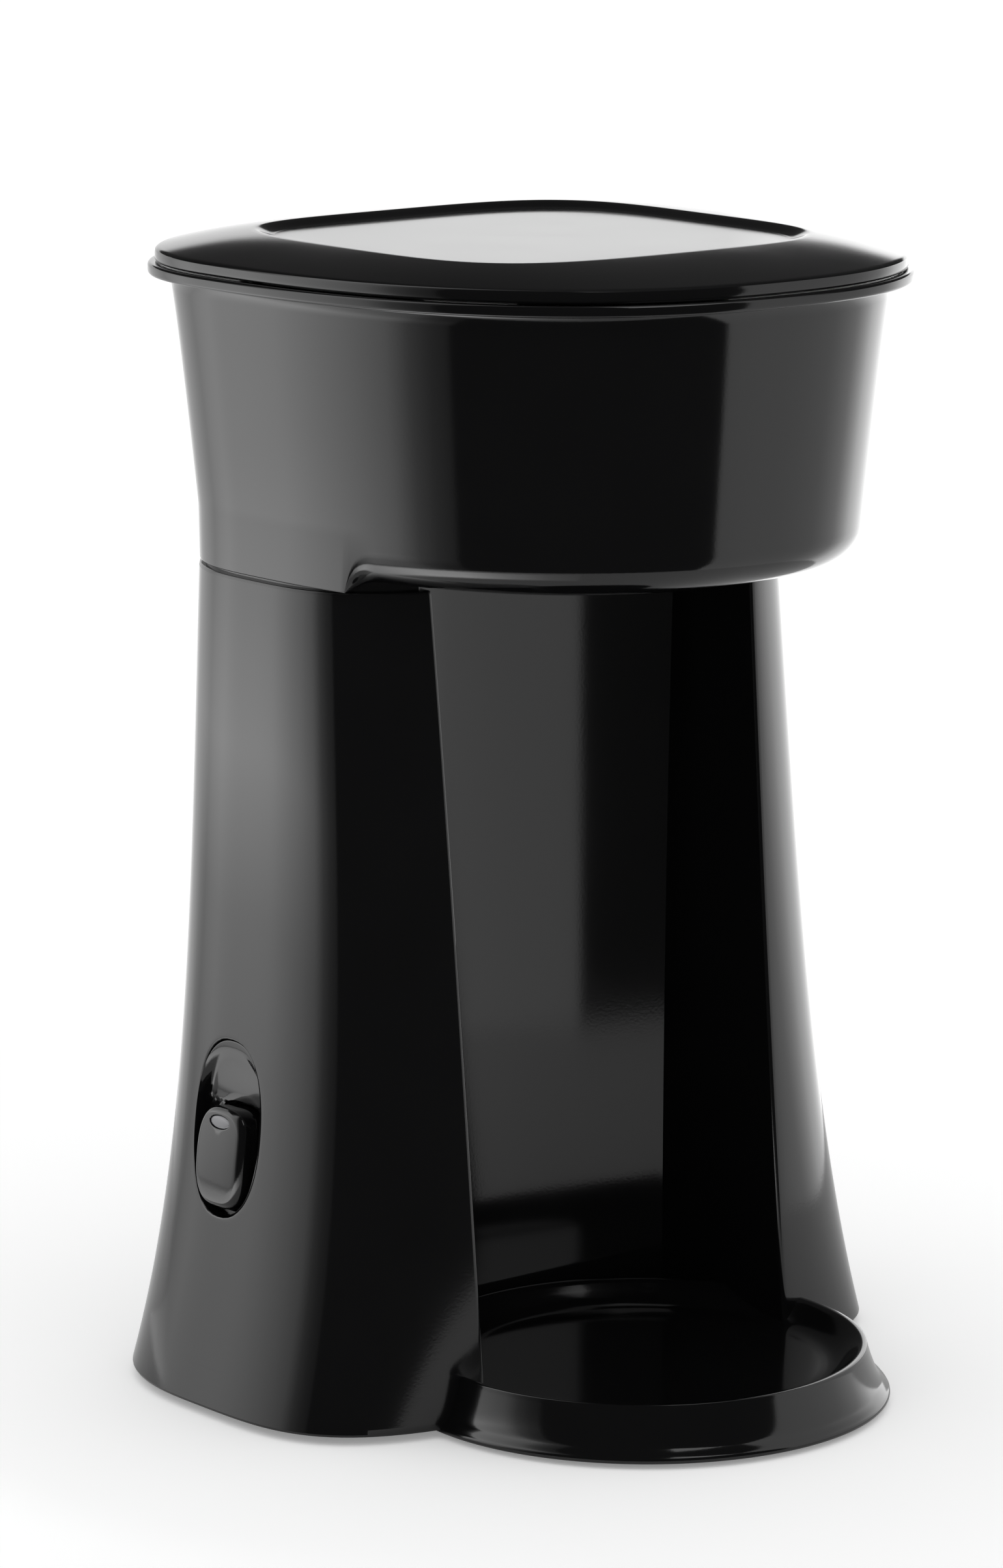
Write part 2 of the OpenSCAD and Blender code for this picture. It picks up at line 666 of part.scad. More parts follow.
// The paddle rocks on two stub pins of its own, deep in the well.
module switch_paddle() color(gloss_black) {
    at_switch() difference() {
        union() {
            intersection() {
                translate([paddle_x, 0, -7.6]) linear_extrude(12) polygon(oval(paddle_w, paddle_h, 4));
                face_curve(0);
            }
            translate([paddle_x, 0, pivot_depth]) rotate([90, 0, 0])
                cylinder(r = 1.25 - FIT, h = well_w + 3, center = true, $fn = 24);
        }
        translate([lens_x, 0, lens_low]) linear_extrude(6) polygon(oval(7.5, 3, 2));
        translate([lens_x, 0, -9]) cylinder(r = 1.25, h = 10, $fn = 24);
    }
}

lens_low = 0.2;

module indicator_lens() color([0.35, 0.36, 0.38]) {
    at_switch() intersection() {
        translate([lens_x, 0, lens_low]) linear_extrude(3) polygon(oval(7.4, 2.9, 2));
        face_curve(0.1);
    }
}

module indicator_lamp() color("orange") {
    at_switch() translate([lens_x, 0, -4]) cylinder(r = 1.2, h = 4 + lens_low, $fn = 24);
}

module switch_module() color([0.16, 0.16, 0.17]) {
    at_switch() {
        translate([paddle_x - 12, -9, -25]) cube([24, 18, 15]);
        for (k = [-1:1]) translate([paddle_x + 7 * k - 0.4, -3, -32]) cube([0.8, 6, 7]);
        for (side = [-1, 1]) translate([paddle_x - 2, side * 11 - 1.5, -25]) cube([4, 3, 17]);
        translate([paddle_x - 2, -12.5, -25]) cube([4, 25, 3]);
    }
}

// ---------------------------------------------------------------- heater

heater_y = hose_y + heater_r * sin(50);
heater_z = 24;
tube_out = 5.8;
element_r = 3.2;
element_drop = 9.6;
open_half = 40;
boss_half = 6.8;

// A horseshoe, open to the front, swept from a flat section.
module horseshoe(extra) {
    translate([0, heater_y, heater_z]) rotate([0, 0, -90 + open_half - extra])
        rotate_extrude(angle = 360 - 2 * open_half + 2 * extra, $fn = 96) children();
}

module heater_casting() color([0.75, 0.76, 0.78]) {
    difference() {
        union() {
            horseshoe(0) translate([heater_r, 0]) circle(r = tube_out, $fn = 32);
            horseshoe(-3) translate([heater_r - 4, -element_drop]) square([8, element_drop]);
            horseshoe(-3) translate([heater_r, -element_drop]) circle(r = element_r + 1.8, $fn = 32);
            for (side = [-1, 1]) translate([side * inlet_x, hose_y, heater_z - boss_half]) {
                cylinder(r = boss_half, h = 2 * boss_half, $fn = 32);
                cylinder(r = spigot_r, h = boss_half + 20, $fn = 32);
            }
            translate([-9, heater_y + heater_r - 7, heater_z + tube_out - 2]) cube([18, 14, 4]);
        }
        horseshoe(0) translate([heater_r, 0]) circle(r = spigot_bore, $fn = 32);
        horseshoe(1) translate([heater_r, -element_drop]) circle(r = element_r, $fn = 32);
        for (side = [-1, 1]) translate([side * inlet_x, hose_y, heater_z - spigot_bore - 0.6])
            cylinder(r = spigot_bore + 0.3, h = 31, $fn = 32);
    }
}

module heating_element() color("dimgray") {
    horseshoe(10) translate([heater_r, -element_drop]) circle(r = element_r, $fn = 32);
}

module element_terminals() color("silver") {
    for (side = [-1, 1])
        translate([0, heater_y, heater_z - element_drop])
            rotate([0, 0, -90 + side * (open_half - 10)]) translate([heater_r, 0, 0])
                rotate([side * 90, 0, 0]) {
                    cylinder(r = 1.2, h = 3, $fn = 24);
                    translate([-0.4, -2.5, 3]) cube([0.8, 5, 4.5]);
                }
}

module thermostat() color("gainsboro") {
    translate([0, heater_y + heater_r, heater_z + tube_out + 2]) {
        cylinder(r = 6.6, h = 3);
        translate([0, 0, 3]) cylinder(r = 5.2, h = 5);
        for (side = [-1, 1]) translate([side * 3.4 - 0.4, -2.5, 8]) cube([0.8, 5, 6]);
    }
}

module thermal_fuse() color("white") {
    translate([-heater_r - tube_out - 3, heater_y - 12, heater_z]) rotate([-90, 0, 0])
        cylinder(r = 3, h = 24, $fn = 32);
}

// Sheet-steel strap under the horseshoe, on two pillars of the base plate.
module heater_bracket() color("lightsteelblue") {
    low = heater_z - element_drop - element_r - 1.8 - 1.2;
    difference() {
        union() {
            translate([-heater_r - 16, heater_y - 6, low]) cube([2 * heater_r + 32, 12, 1.2]);
            for (side = [-1, 1]) translate([side * (heater_r + 12) - 4, heater_y - 6, base_low + base_thick])
                cube([8, 12, low - base_low - base_thick]);
        }
        for (side = [-1, 1]) translate([side * (heater_r + 12), heater_y, 0])
            cylinder(r = pilot_r, h = 40, $fn = 24);
    }
}

module bracket_screws() color("silver") {
    low = heater_z - element_drop - element_r - 1.8;
    for (side = [-1, 1]) translate([side * (heater_r + 12), heater_y, 0])
        screw(low, low - base_low - 0.4, false);
}

// ---------------------------------------------------------------- hoses

module hose(x, low, high) {
    translate([x, hose_y, low]) difference() {
        cylinder(r = hose_r, h = high - low);
        translate([0, 0, -1]) cylinder(r = spigot_r + FIT, h = high - low + 2);
    }
}

hose_low = heater_z + 7;
hose_high = 195;

module inlet_hose() color([0.8, 0.8, 0.78]) hose(inlet_x, hose_low, hose_high);
module riser_hose() color([0.8, 0.8, 0.78]) hose(-inlet_x, hose_low, hose_high);

module hose_clamps() color("silver") {
    for (side = [-1, 1], z = [hose_low + 3, hose_high - 7])
        translate([side * inlet_x, hose_y, z]) {
            difference() {
                cylinder(r = hose_r + 0.9, h = 3);
                translate([0, 0, -1]) cylinder(r = hose_r + 0.02, h = 5);
            }
            for (k = [-1, 1]) translate([k * 2 - 0.5, hose_r + 0.6, 0]) cube([1, 4, 3]);
        }
}

// ---------------------------------------------------------------- electrical parts

block_x = 34;
block_y = 70;

module terminal_block() color("ivory") {
    translate([block_x - 10, block_y - 5, base_low + base_thick]) difference() {
        cube([20, 10, 9]);
        for (k = [-1:1]) translate([10 + 6 * k, 5, 3]) cylinder(r = 1.6, h = 10, $fn = 24);
    }
}

// A round wire through hand-placed points.
function unit(v) = v / norm(v);
module wire(path, r) {
    n = len(path);
    skin([for (i = [0:n - 1])
        let (t = unit(path[min(i + 1, n - 1)] - path[max(i - 1, 0)]))
        let (u = unit(cross(t, abs(t[2]) > 0.9 ? [1, 0, 0] : [0, 0, 1])), v = cross(t, u))
        [for (k = [0:7]) path[i] + r * (cos(45 * k) * u + sin(45 * k) * v)]]);
}

// A place in the switch's own frame, in the machine's frame.
function switch_place(x, y, z) =
    [-column_point(0, recess_z, 0)[0] - x * sin(switch_tilt) - z * cos(switch_tilt),
    switch_y + y, recess_z - x * cos(switch_tilt) + z * sin(switch_tilt)];

tab_end = -32.05;
switch_wires = [
    [switch_place(paddle_x, 0, tab_end), switch_place(paddle_x, 0, tab_end - 4), [-44, 29, 50],
        [-48, 38, 40], [-53, 46, 28], [-55, 54, 18], [-50, 66, 10], [-36, 74.5, 7],
        [-10, 77.4, 6.6], [8, 77.4, 6.6], [20, 75.6, 6.8], [22.8, 72, 9]],
    [switch_place(paddle_x - 7, 0, tab_end), switch_place(paddle_x - 7, 0, tab_end - 4), [-43, 31, 58],
        [-45, 42, 46], [-50, 54, 28], [-46, 66, 16], [-30, 75.5, 13],
        [-8, 79.4, 12], [10, 79.4, 12], [24, 78.4, 12], [31, 77.4, 10], [32, 76.2, 9]]];

module wiring() color([0.85, 0.85, 0.85]) {
    for (path = switch_wires) wire(path, 1.1);
}

// Bushing that the mains cord passes through, in the rear wall at the foot.
module cord_gland() color([0.1, 0.1, 0.1]) {
    translate([gland_x, gland_y, gland_z]) rotate([-90, 0, 0]) rotate_extrude($fn = 48)
        polygon([[3.6, -8], [gland_r, -8], [gland_r, 0], [7.6, 0], [7.6, 1.6],
            [5.6, 2.4], [5, 7.6], [3.6, 7.6]]);
}

upper_housing();
water_tub();
lid();
lid_liner();
hinge_pin();
filter_basket();
mesh_filter();
filter_handle();
shower_arm();
outlet_nozzle();
column_shell();
cup_stand();
base_plate();
rubber_feet();
base_screws();
head_screws();
switch_bezel();
switch_paddle();
indicator_lens();
indicator_lamp();
switch_module();
heater_casting();
heating_element();
element_terminals();
heater_bracket();
bracket_screws();
thermostat();
thermal_fuse();
inlet_hose();
riser_hose();
hose_clamps();
check_valve();
inlet_strainer();
terminal_block();
wiring();
cord_gland();
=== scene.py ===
from math import atan2, cos, hypot, pi, radians, sin, sqrt

import bmesh
import bpy
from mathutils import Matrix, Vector


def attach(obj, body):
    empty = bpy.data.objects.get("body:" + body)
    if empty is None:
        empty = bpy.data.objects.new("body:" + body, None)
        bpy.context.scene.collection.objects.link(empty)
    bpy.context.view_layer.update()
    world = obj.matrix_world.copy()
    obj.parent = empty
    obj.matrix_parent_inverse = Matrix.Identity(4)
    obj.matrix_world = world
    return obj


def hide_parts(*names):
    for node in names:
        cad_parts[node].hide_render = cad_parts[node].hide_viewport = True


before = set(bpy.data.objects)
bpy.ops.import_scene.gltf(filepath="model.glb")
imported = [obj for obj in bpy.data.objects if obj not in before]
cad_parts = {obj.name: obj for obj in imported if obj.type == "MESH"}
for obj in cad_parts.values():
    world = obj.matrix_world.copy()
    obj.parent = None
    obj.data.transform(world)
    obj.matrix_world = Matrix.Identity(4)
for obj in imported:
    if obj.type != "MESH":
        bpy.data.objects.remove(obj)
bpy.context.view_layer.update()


# ---------------------------------------------------------------- camera and table
# A long lens looks slightly down on the machine from its front left corner, and the
# machine stands on a plain white table that runs on without an edge.

camera_data = bpy.data.cameras.new("camera")
camera_data.lens = 144.8
camera_data.sensor_width = 36.0
camera_data.clip_end = 50.0
camera = bpy.data.objects.new("camera", camera_data)
camera.location = (-0.92231, -1.11747, 0.43679)
camera.rotation_euler = (radians(90 - 11.523), 0.0, radians(-39.026))
bpy.context.collection.objects.link(camera)
bpy.context.scene.camera = camera
bpy.context.scene.view_settings.view_transform = "Standard"


def nodes_of(owner):
    """An empty node tree of a material or world, with its nodes and links."""
    owner.use_nodes = True
    tree = owner.node_tree
    tree.nodes.clear()
    return tree.nodes, tree.links


sky = bpy.data.worlds.new("studio")
bpy.context.scene.world = sky
nodes, links = nodes_of(sky)
rays = nodes.new("ShaderNodeLightPath")
seen = nodes.new("ShaderNodeMath")
seen.operation = "MAXIMUM"
clear = nodes.new("ShaderNodeMath")
clear.operation = "MAXIMUM"
links.new(rays.outputs["Is Camera Ray"], seen.inputs[0])
links.new(rays.outputs["Is Glossy Ray"], seen.inputs[1])
links.new(seen.outputs[0], clear.inputs[0])
links.new(rays.outputs["Is Transmission Ray"], clear.inputs[1])
soft_light = nodes.new("ShaderNodeBackground")
soft_light.inputs["Color"].default_value = (1.0, 1.0, 1.0, 1.0)
soft_light.inputs["Strength"].default_value = 0.86
white_wall = nodes.new("ShaderNodeBackground")
white_wall.inputs["Color"].default_value = (1.0, 1.0, 1.0, 1.0)
white_wall.inputs["Strength"].default_value = 1.0
choose = nodes.new("ShaderNodeMixShader")
links.new(clear.outputs[0], choose.inputs[0])
links.new(soft_light.outputs[0], choose.inputs[1])
links.new(white_wall.outputs[0], choose.inputs[2])
world_out = nodes.new("ShaderNodeOutputWorld")
links.new(choose.outputs[0], world_out.inputs["Surface"])

table_paint = bpy.data.materials.new("table_paint")
nodes, links = nodes_of(table_paint)
table_skin = nodes.new("ShaderNodeBsdfPrincipled")
table_skin.inputs["Base Color"].default_value = (0.93, 0.93, 0.93, 1.0)
table_skin.inputs["Roughness"].default_value = 0.9
table_skin.inputs["Specular IOR Level"].default_value = 0.1
rays = nodes.new("ShaderNodeLightPath")
table_glow = nodes.new("ShaderNodeEmission")
table_glow.inputs["Color"].default_value = (1.0, 1.0, 1.0, 1.0)
lift = nodes.new("ShaderNodeMath")
lift.operation = "MULTIPLY"
lift.inputs[1].default_value = 0.24
links.new(rays.outputs["Is Camera Ray"], lift.inputs[0])
links.new(lift.outputs[0], table_glow.inputs["Strength"])
both = nodes.new("ShaderNodeAddShader")
links.new(table_skin.outputs[0], both.inputs[0])
links.new(table_glow.outputs[0], both.inputs[1])
table_out = nodes.new("ShaderNodeOutputMaterial")
links.new(both.outputs[0], table_out.inputs["Surface"])

table_mesh = bpy.data.meshes.new("table")
ring = [(12.0 * cos(radians(a)), 12.0 * sin(radians(a)), 0.0) for a in range(0, 360, 5)]
table_mesh.from_pydata(ring, [], [tuple(range(len(ring)))])
table_mesh.materials.append(table_paint)
table = bpy.data.objects.new("table", table_mesh)
bpy.context.collection.objects.link(table)


# ---------------------------------------------------------------- light tent
# A white fabric tent stands round the machine and shows only in its reflections. The front
# panel is black, so that glossy plastic shows a dark middle between two pale flanks.

def eased(value, low, high):
    """0 below low, 1 above high, and a smooth step between them."""
    share = min(max((value - low) / (high - low), 0.0), 1.0)
    return share * share * (3 - 2 * share)


def blended(stops, value):
    """The value of a list of (place, level) stops, joined by straight lines."""
    for (a, low), (b, high) in zip(stops, stops[1:]):
        if value <= b:
            return low + (high - low) * max(value - a, 0.0) / (b - a)
    return stops[-1][1]


TENT_RADIUS = 0.30
TENT_HEIGHT = 0.62
# plan angle in degrees from the tent's dark panel's left edge, and the fabric's level
TENT_LEVELS = [(0, 0.05), (100, 0.05), (101.5, 1.0), (135, 0.95), (150, 1.2), (165, 2.2), (202, 2.2),
               (212, 1.3), (235, 1.25), (262, 1.0), (285, 1.2), (298, 2.3), (312, 2.6), (330, 1.9),
               (340, 1.4), (347, 0.6), (353, 0.32), (358.5, 0.2), (360, 0.05)]
# how bright its left side is at a height in metres
TENT_LEFT_SIDE = [(0, 0.55), (0.04, 0.68), (0.08, 0.82), (0.12, 1.3), (0.16, 1.1), (0.22, 1.0), (0.7, 1.0)]
TENT_LEFT_EDGE = -170.5


def tent_level(angle, height):
    """How bright the fabric is at a plan angle in degrees and a height in metres."""
    turn = (angle - TENT_LEFT_EDGE) % 360
    level = blended(TENT_LEVELS, turn)
    level *= 1 + (blended(TENT_LEFT_SIDE, height) - 1) * eased(turn, 262, 285)
    # behind the machine the fabric ends low, and a bright strip hangs high at the front right
    if 62 < turn < 101 and height > 0.40:
        return 2.0 * eased(height, 0.40, 0.42)
    behind = eased(turn, 112, 135) * (1 - eased(turn, 300, 325))
    return max(level * (1 - behind * eased(height, 0.322, 0.331)), 0.05)


tent_cloth = bpy.data.materials.new("tent_cloth")
nodes, links = nodes_of(tent_cloth)
tent_glow = nodes.new("ShaderNodeEmission")
panel = nodes.new("ShaderNodeAttribute")
panel.attribute_name = "level"
links.new(panel.outputs["Fac"], tent_glow.inputs["Strength"])
tent_out = nodes.new("ShaderNodeOutputMaterial")
links.new(tent_glow.outputs[0], tent_out.inputs["Surface"])

columns, rows = 720, 124
tent_points, tent_values = [], []
for j in range(rows + 1):
    for i in range(columns):
        a, z = 360 * i / columns, TENT_HEIGHT * j / rows
        tent_points.append((TENT_RADIUS * cos(radians(a)), TENT_RADIUS * sin(radians(a)), z))
        tent_values.append(tent_level(a, z))
tent_points.append((0.0, 0.0, TENT_HEIGHT))
tent_values.append(0.14)
tent_faces = [(j * columns + i, j * columns + (i + 1) % columns,
               (j + 1) * columns + (i + 1) % columns, (j + 1) * columns + i)
              for j in range(rows) for i in range(columns)]
tent_faces += [(rows * columns + i, rows * columns + (i + 1) % columns, len(tent_points) - 1)
               for i in range(columns)]
# a low light panel lies on the table at the left, and shows in the rounding under the head
low_light_levels = [(-70, 0.9), (-45, 2.4), (-25, 4.0), (-8, 4.0), (10, 2.4), (30, 1.2), (45, 0.9)]
base, low_light_steps = len(tent_points), 115
for radius, share in ((0.15, 0.0), (0.17, 1.0), (0.25, 1.0), (0.28, 0.0)):
    for i in range(low_light_steps + 1):
        turn = -70 + i
        a = radians(turn + TENT_LEFT_EDGE)
        tent_points.append((radius * cos(a), radius * sin(a), 0.003))
        tent_values.append(0.9 + (blended(low_light_levels, turn) - 0.9) * share)
tent_faces += [(base + j * (low_light_steps + 1) + i, base + j * (low_light_steps + 1) + i + 1,
                base + (j + 1) * (low_light_steps + 1) + i + 1, base + (j + 1) * (low_light_steps + 1) + i)
               for j in range(3) for i in range(low_light_steps)]
tent_mesh = bpy.data.meshes.new("light_tent")
tent_mesh.from_pydata(tent_points, [], tent_faces)
level = tent_mesh.attributes.new("level", "FLOAT", "POINT")
level.data.foreach_set("value", tent_values)
tent_mesh.materials.append(tent_cloth)
tent = bpy.data.objects.new("light_tent", tent_mesh)
bpy.context.collection.objects.link(tent)
tent.visible_camera = False
tent.visible_diffuse = False
tent.visible_transmission = False
tent.visible_shadow = False
tent.visible_volume_scatter = False


# ---------------------------------------------------------------- column shell
# The column is one glossy moulding of black ABS: two wings, the curved wall of the cup
# bay between them, and an oval hole in the left flank for the switch.

MM = 0.001


def noise_height(nodes, links, scale, detail=2.0):
    """Fine noise in the object's own space."""
    place = nodes.new("ShaderNodeTexCoord")
    noise = nodes.new("ShaderNodeTexNoise")
    noise.inputs["Scale"].default_value = scale
    noise.inputs["Detail"].default_value = detail
    links.new(place.outputs["Object"], noise.inputs["Vector"])
    return noise


def moulded_surface():
    """Node group: what moulded plastic shows close up, from its flow, haze and dust."""
    group = bpy.data.node_groups.new("moulded_surface", "ShaderNodeTree")
    for name, kind, value in (("Tone", "NodeSocketColor", (0.01, 0.01, 0.01, 1.0)),
                              ("Haze", "NodeSocketFloat", 0.12), ("Haze Spread", "NodeSocketFloat", 0.05),
                              ("Grain Scale", "NodeSocketFloat", 900.0)):
        socket = group.interface.new_socket(name, in_out="INPUT", socket_type=kind)
        socket.default_value = value
    for name, kind in (("Color", "NodeSocketColor"), ("Roughness", "NodeSocketFloat"),
                       ("Height", "NodeSocketFloat")):
        group.interface.new_socket(name, in_out="OUTPUT", socket_type=kind)
    nodes, links = group.nodes, group.links
    given = nodes.new("NodeGroupInput")
    result = nodes.new("NodeGroupOutput")
    flow = noise_height(nodes, links, 38.0)
    grain = noise_height(nodes, links, 900.0, 3.0)
    links.new(given.outputs["Grain Scale"], grain.inputs["Scale"])
    spread = nodes.new("ShaderNodeMath")
    spread.operation = "MULTIPLY_ADD"
    links.new(flow.outputs["Fac"], spread.inputs[0])
    links.new(given.outputs["Haze Spread"], spread.inputs[1])
    links.new(given.outputs["Haze"], spread.inputs[2])
    links.new(spread.outputs[0], result.inputs["Roughness"])
    shade = nodes.new("ShaderNodeMapRange")
    shade.inputs["To Min"].default_value = 0.82
    shade.inputs["To Max"].default_value = 1.18
    links.new(flow.outputs["Fac"], shade.inputs["Value"])
    tone = nodes.new("ShaderNodeVectorMath")
    tone.operation = "SCALE"
    links.new(given.outputs["Tone"], tone.inputs[0])
    links.new(shade.outputs[0], tone.inputs["Scale"])
    links.new(tone.outputs[0], result.inputs["Color"])
    heights = nodes.new("ShaderNodeMath")
    heights.operation = "MULTIPLY_ADD"
    links.new(flow.outputs["Fac"], heights.inputs[0])
    heights.inputs[1].default_value = 0.6
    links.new(grain.outputs["Fac"], heights.inputs[2])
    links.new(heights.outputs[0], result.inputs["Height"])
    return group


MOULDED = moulded_surface()


def moulded_plastic(name, tone, haze, haze_spread, grain_scale, grain_depth, grain_reach=0.0002, coat=0.0):
    """A moulded plastic with its own tone, gloss and grain."""
    material = bpy.data.materials.new(name)
    nodes, links = nodes_of(material)
    skin = nodes.new("ShaderNodeBsdfPrincipled")
    effect = nodes.new("ShaderNodeGroup")
    effect.node_tree = MOULDED
    effect.inputs["Tone"].default_value = (*tone, 1.0)
    effect.inputs["Haze"].default_value = haze
    effect.inputs["Haze Spread"].default_value = haze_spread
    effect.inputs["Grain Scale"].default_value = grain_scale
    links.new(effect.outputs["Color"], skin.inputs["Base Color"])
    links.new(effect.outputs["Roughness"], skin.inputs["Roughness"])
    bump = nodes.new("ShaderNodeBump")
    bump.inputs["Strength"].default_value = grain_depth
    bump.inputs["Distance"].default_value = grain_reach
    links.new(effect.outputs["Height"], bump.inputs["Height"])
    links.new(bump.outputs["Normal"], skin.inputs["Normal"])
    if coat:
        skin.inputs["Coat Weight"].default_value = coat
        skin.inputs["Coat Roughness"].default_value = 0.03
    out = nodes.new("ShaderNodeOutputMaterial")
    links.new(skin.outputs[0], out.inputs["Surface"])
    return material


gloss_black = moulded_plastic("gloss_black", (0.0032, 0.0032, 0.0034), 0.07, 0.05, 1500.0, 0.02)


def finish_mesh(mesh, sharp_angle=40.0):
    """Outward normals, smooth faces, and edges sharper than the angle kept crisp."""
    work = bmesh.new()
    work.from_mesh(mesh)
    bmesh.ops.remove_doubles(work, verts=work.verts, dist=2e-6)
    bmesh.ops.dissolve_degenerate(work, edges=work.edges, dist=1e-6)
    bmesh.ops.recalc_face_normals(work, faces=work.faces)
    limit = radians(sharp_angle)
    for face in work.faces:
        face.smooth = True
    for edge in work.edges:
        edge.smooth = len(edge.link_faces) != 2 or edge.calc_face_angle() < limit
    work.to_mesh(mesh)
    work.free()


def make_piece(name, points, faces, material, body="frame", sharp_angle=40.0):
    """A piece from points in millimetres, riding on a body of the machine."""
    mesh = bpy.data.meshes.new(name)
    mesh.from_pydata([(x * MM, y * MM, z * MM) for x, y, z in points], [], faces)
    finish_mesh(mesh, sharp_angle)
    mesh.materials.append(material)
    piece = bpy.data.objects.new(name, mesh)
    bpy.context.collection.objects.link(piece)
    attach(piece, body)
    return piece


def band(points, faces, rings, closed=False):
    """Adds rings of equal count and joins each to the next, and the last to the first if closed."""
    start, count = len(points), len(rings[0])
    for ring in rings:
        points.extend(ring)
    last = len(rings) if closed else len(rings) - 1
    for j in range(last):
        a, b = start + j * count, start + (j + 1) % len(rings) * count
        faces.extend((a + i, a + (i + 1) % count, b + (i + 1) % count, b + i) for i in range(count))
    return start


SEAM_Z, FOOT_Z = 194.4, 2.0
CUP_Y = -32.0
BAY_R, BAY_MID_Y = 115.0, -91.0
FLANK_FRONT_Y, FLANK_REAR_Y = 5.6, 44.6


def column_size(z, inset):
    """Half width, middle, reach forward and back, and the front's power, at a height."""
    t = (SEAM_Z - z) / (SEAM_Z - FOOT_Z)
    flare = 0.38 * t + 0.62 * max(t, 0.0) ** 4
    return (71.4 + 19.1 * flare - inset, 25.6 - t, 43 + 14 * t - inset, 48.5 + 13.8 * flare - inset,
            3.4 + 0.45 * t, 2.53)


def column_outline(angle, z, inset):
    a, mid, front, rear, front_power, rear_power = column_size(z, inset)
    ahead = sin(angle) < 0
    reach, power = (front, front_power) if ahead else (rear, rear_power)
    r = (abs(cos(angle) / a) ** power + abs(sin(angle) / reach) ** power) ** (-1 / power)
    return (r * cos(angle), mid + r * sin(angle))


def flank_x(y, z, inset=0.0):
    """Half width of the column at a place front to back."""
    a, mid, front, rear, front_power, rear_power = column_size(z, inset)
    reach, power = (front, front_power) if y < mid else (rear, rear_power)
    return a * (1 - (abs(y - mid) / reach) ** power) ** (1 / power)


def front_y(x, z, inset=0.0):
    """Where the column's front stands at a place left to right."""
    a, mid, front, _, power, _ = column_size(z, inset)
    return mid - front * (1 - (abs(x) / a) ** power) ** (1 / power)


def bay_half(z):
    t = (SEAM_Z - z) / (SEAM_Z - FOOT_Z)
    return 47.7 - 4.35 * t + 2.46 * t * t


def rounded_corner(before, corner, after, reach_in, reach_out, steps=6):
    """Points of a soft corner between two straight runs."""
    a = Vector(corner) + (Vector(before) - Vector(corner)).normalized() * reach_in
    b = Vector(corner) + (Vector(after) - Vector(corner)).normalized() * reach_out
    c = Vector(corner)
    return [tuple(a.lerp(c, s).lerp(c.lerp(b, s), s)) for s in [k / steps for k in range(steps + 1)]]


FLANK_STEPS = 20


def column_ring(z, inset):
    """The column's outline, from the left wing's front edge round the rear and back through the bay."""
    half = bay_half(z) + inset
    radius = BAY_R + inset
    corner = (-half, front_y(half, z, inset))
    centre = column_size(z, inset)[1]
    a_corner = atan2(corner[1] - centre, corner[0]) % (2 * pi)
    front_x = -flank_x(FLANK_FRONT_Y, z, inset)
    a_front = atan2(FLANK_FRONT_Y - centre, front_x) % (2 * pi)
    rear_x = -flank_x(FLANK_REAR_Y, z, inset)
    a_rear = atan2(FLANK_REAR_Y - centre, rear_x)
    bay_corner = (-half, BAY_MID_Y + sqrt(radius ** 2 - half ** 2))
    near = column_outline(a_corner - radians(3), z, inset)
    edge = rounded_corner(bay_corner, corner, near, 1.5, 1.5)
    a_start = atan2(edge[-1][1] - centre, edge[-1][0]) % (2 * pi)
    left = [column_outline(a_start + (a_front - a_start) * k / 24, z, inset) for k in range(1, 24)]
    for k in range(FLANK_STEPS + 1):
        y = FLANK_FRONT_Y + (FLANK_REAR_Y - FLANK_FRONT_Y) * k / FLANK_STEPS
        left.append((-flank_x(y, z, inset), y))
    back = [column_outline(a_rear + (pi / 2 - a_rear) * k / 30, z, inset) for k in range(1, 30)]
    outer = edge + left + back
    mirrored = [(-x, y) for x, y in reversed(outer)]
    a_bay = atan2(bay_corner[1] - BAY_MID_Y, -bay_corner[0])
    arc = [(radius * cos(a_bay + (pi - 2 * a_bay) * k / 48),
            BAY_MID_Y + radius * sin(a_bay + (pi - 2 * a_bay) * k / 48)) for k in range(49)]
    wing_y = mirrored[-1][1]
    right_side = [(half, wing_y + (arc[0][1] - wing_y) * k / 8) for k in range(1, 8)]
    left_side = [(-half, y) for _, y in reversed(right_side)]
    return outer + [(0.0, column_outline(pi / 2, z, inset)[1])] + mirrored + right_side + arc + left_side


def lifted(ring, z):
    return [(x, y, z) for x, y in ring]


# local frame of the switch: x runs down the flank, y to the rear, z out of the flank
SWITCH_TILT = radians(6.4)
SWITCH_Y, SWITCH_Z = 25.1, 66.0
SWITCH_X = -column_size(SWITCH_Z, 0)[0]


def at_switch(x, y, z):
    """A place given in the switch's own frame, in the machine's frame."""
    return (SWITCH_X - x * sin(SWITCH_TILT) - z * cos(SWITCH_TILT), SWITCH_Y + y,
            SWITCH_Z - x * cos(SWITCH_TILT) + z * sin(SWITCH_TILT))


def oval_point(angle, width, height, power):
    """A point of an upright oval in the switch's frame: width front to back, height down the flank."""
    r = (abs(cos(angle) / (height / 2)) ** power + abs(sin(angle) / (width / 2)) ** power) ** (-1 / power)
    return (r * cos(angle), r * sin(angle))


RECESS_W, RECESS_H, RECESS_POWER = 25.5, 41.5, 2.35
patch_low, patch_high, patch_step = 39.0, 93.0, 2.0
levels = [FOOT_Z + 0.7]
while levels[-1] < patch_low - 4.5:
    levels.append(levels[-1] + 2.9 if levels[-1] > 6 else levels[-1] + 1.2)
levels.append((levels[-1] + patch_low) / 2)
first_patch = len(levels)
levels += [patch_low + patch_step * k for k in range(int((patch_high - patch_low) / patch_step) + 1)]
last_patch = len(levels) - 1
levels += [patch_high + (SEAM_Z - 0.7 - patch_high) * k / 28 for k in range(1, 29)]

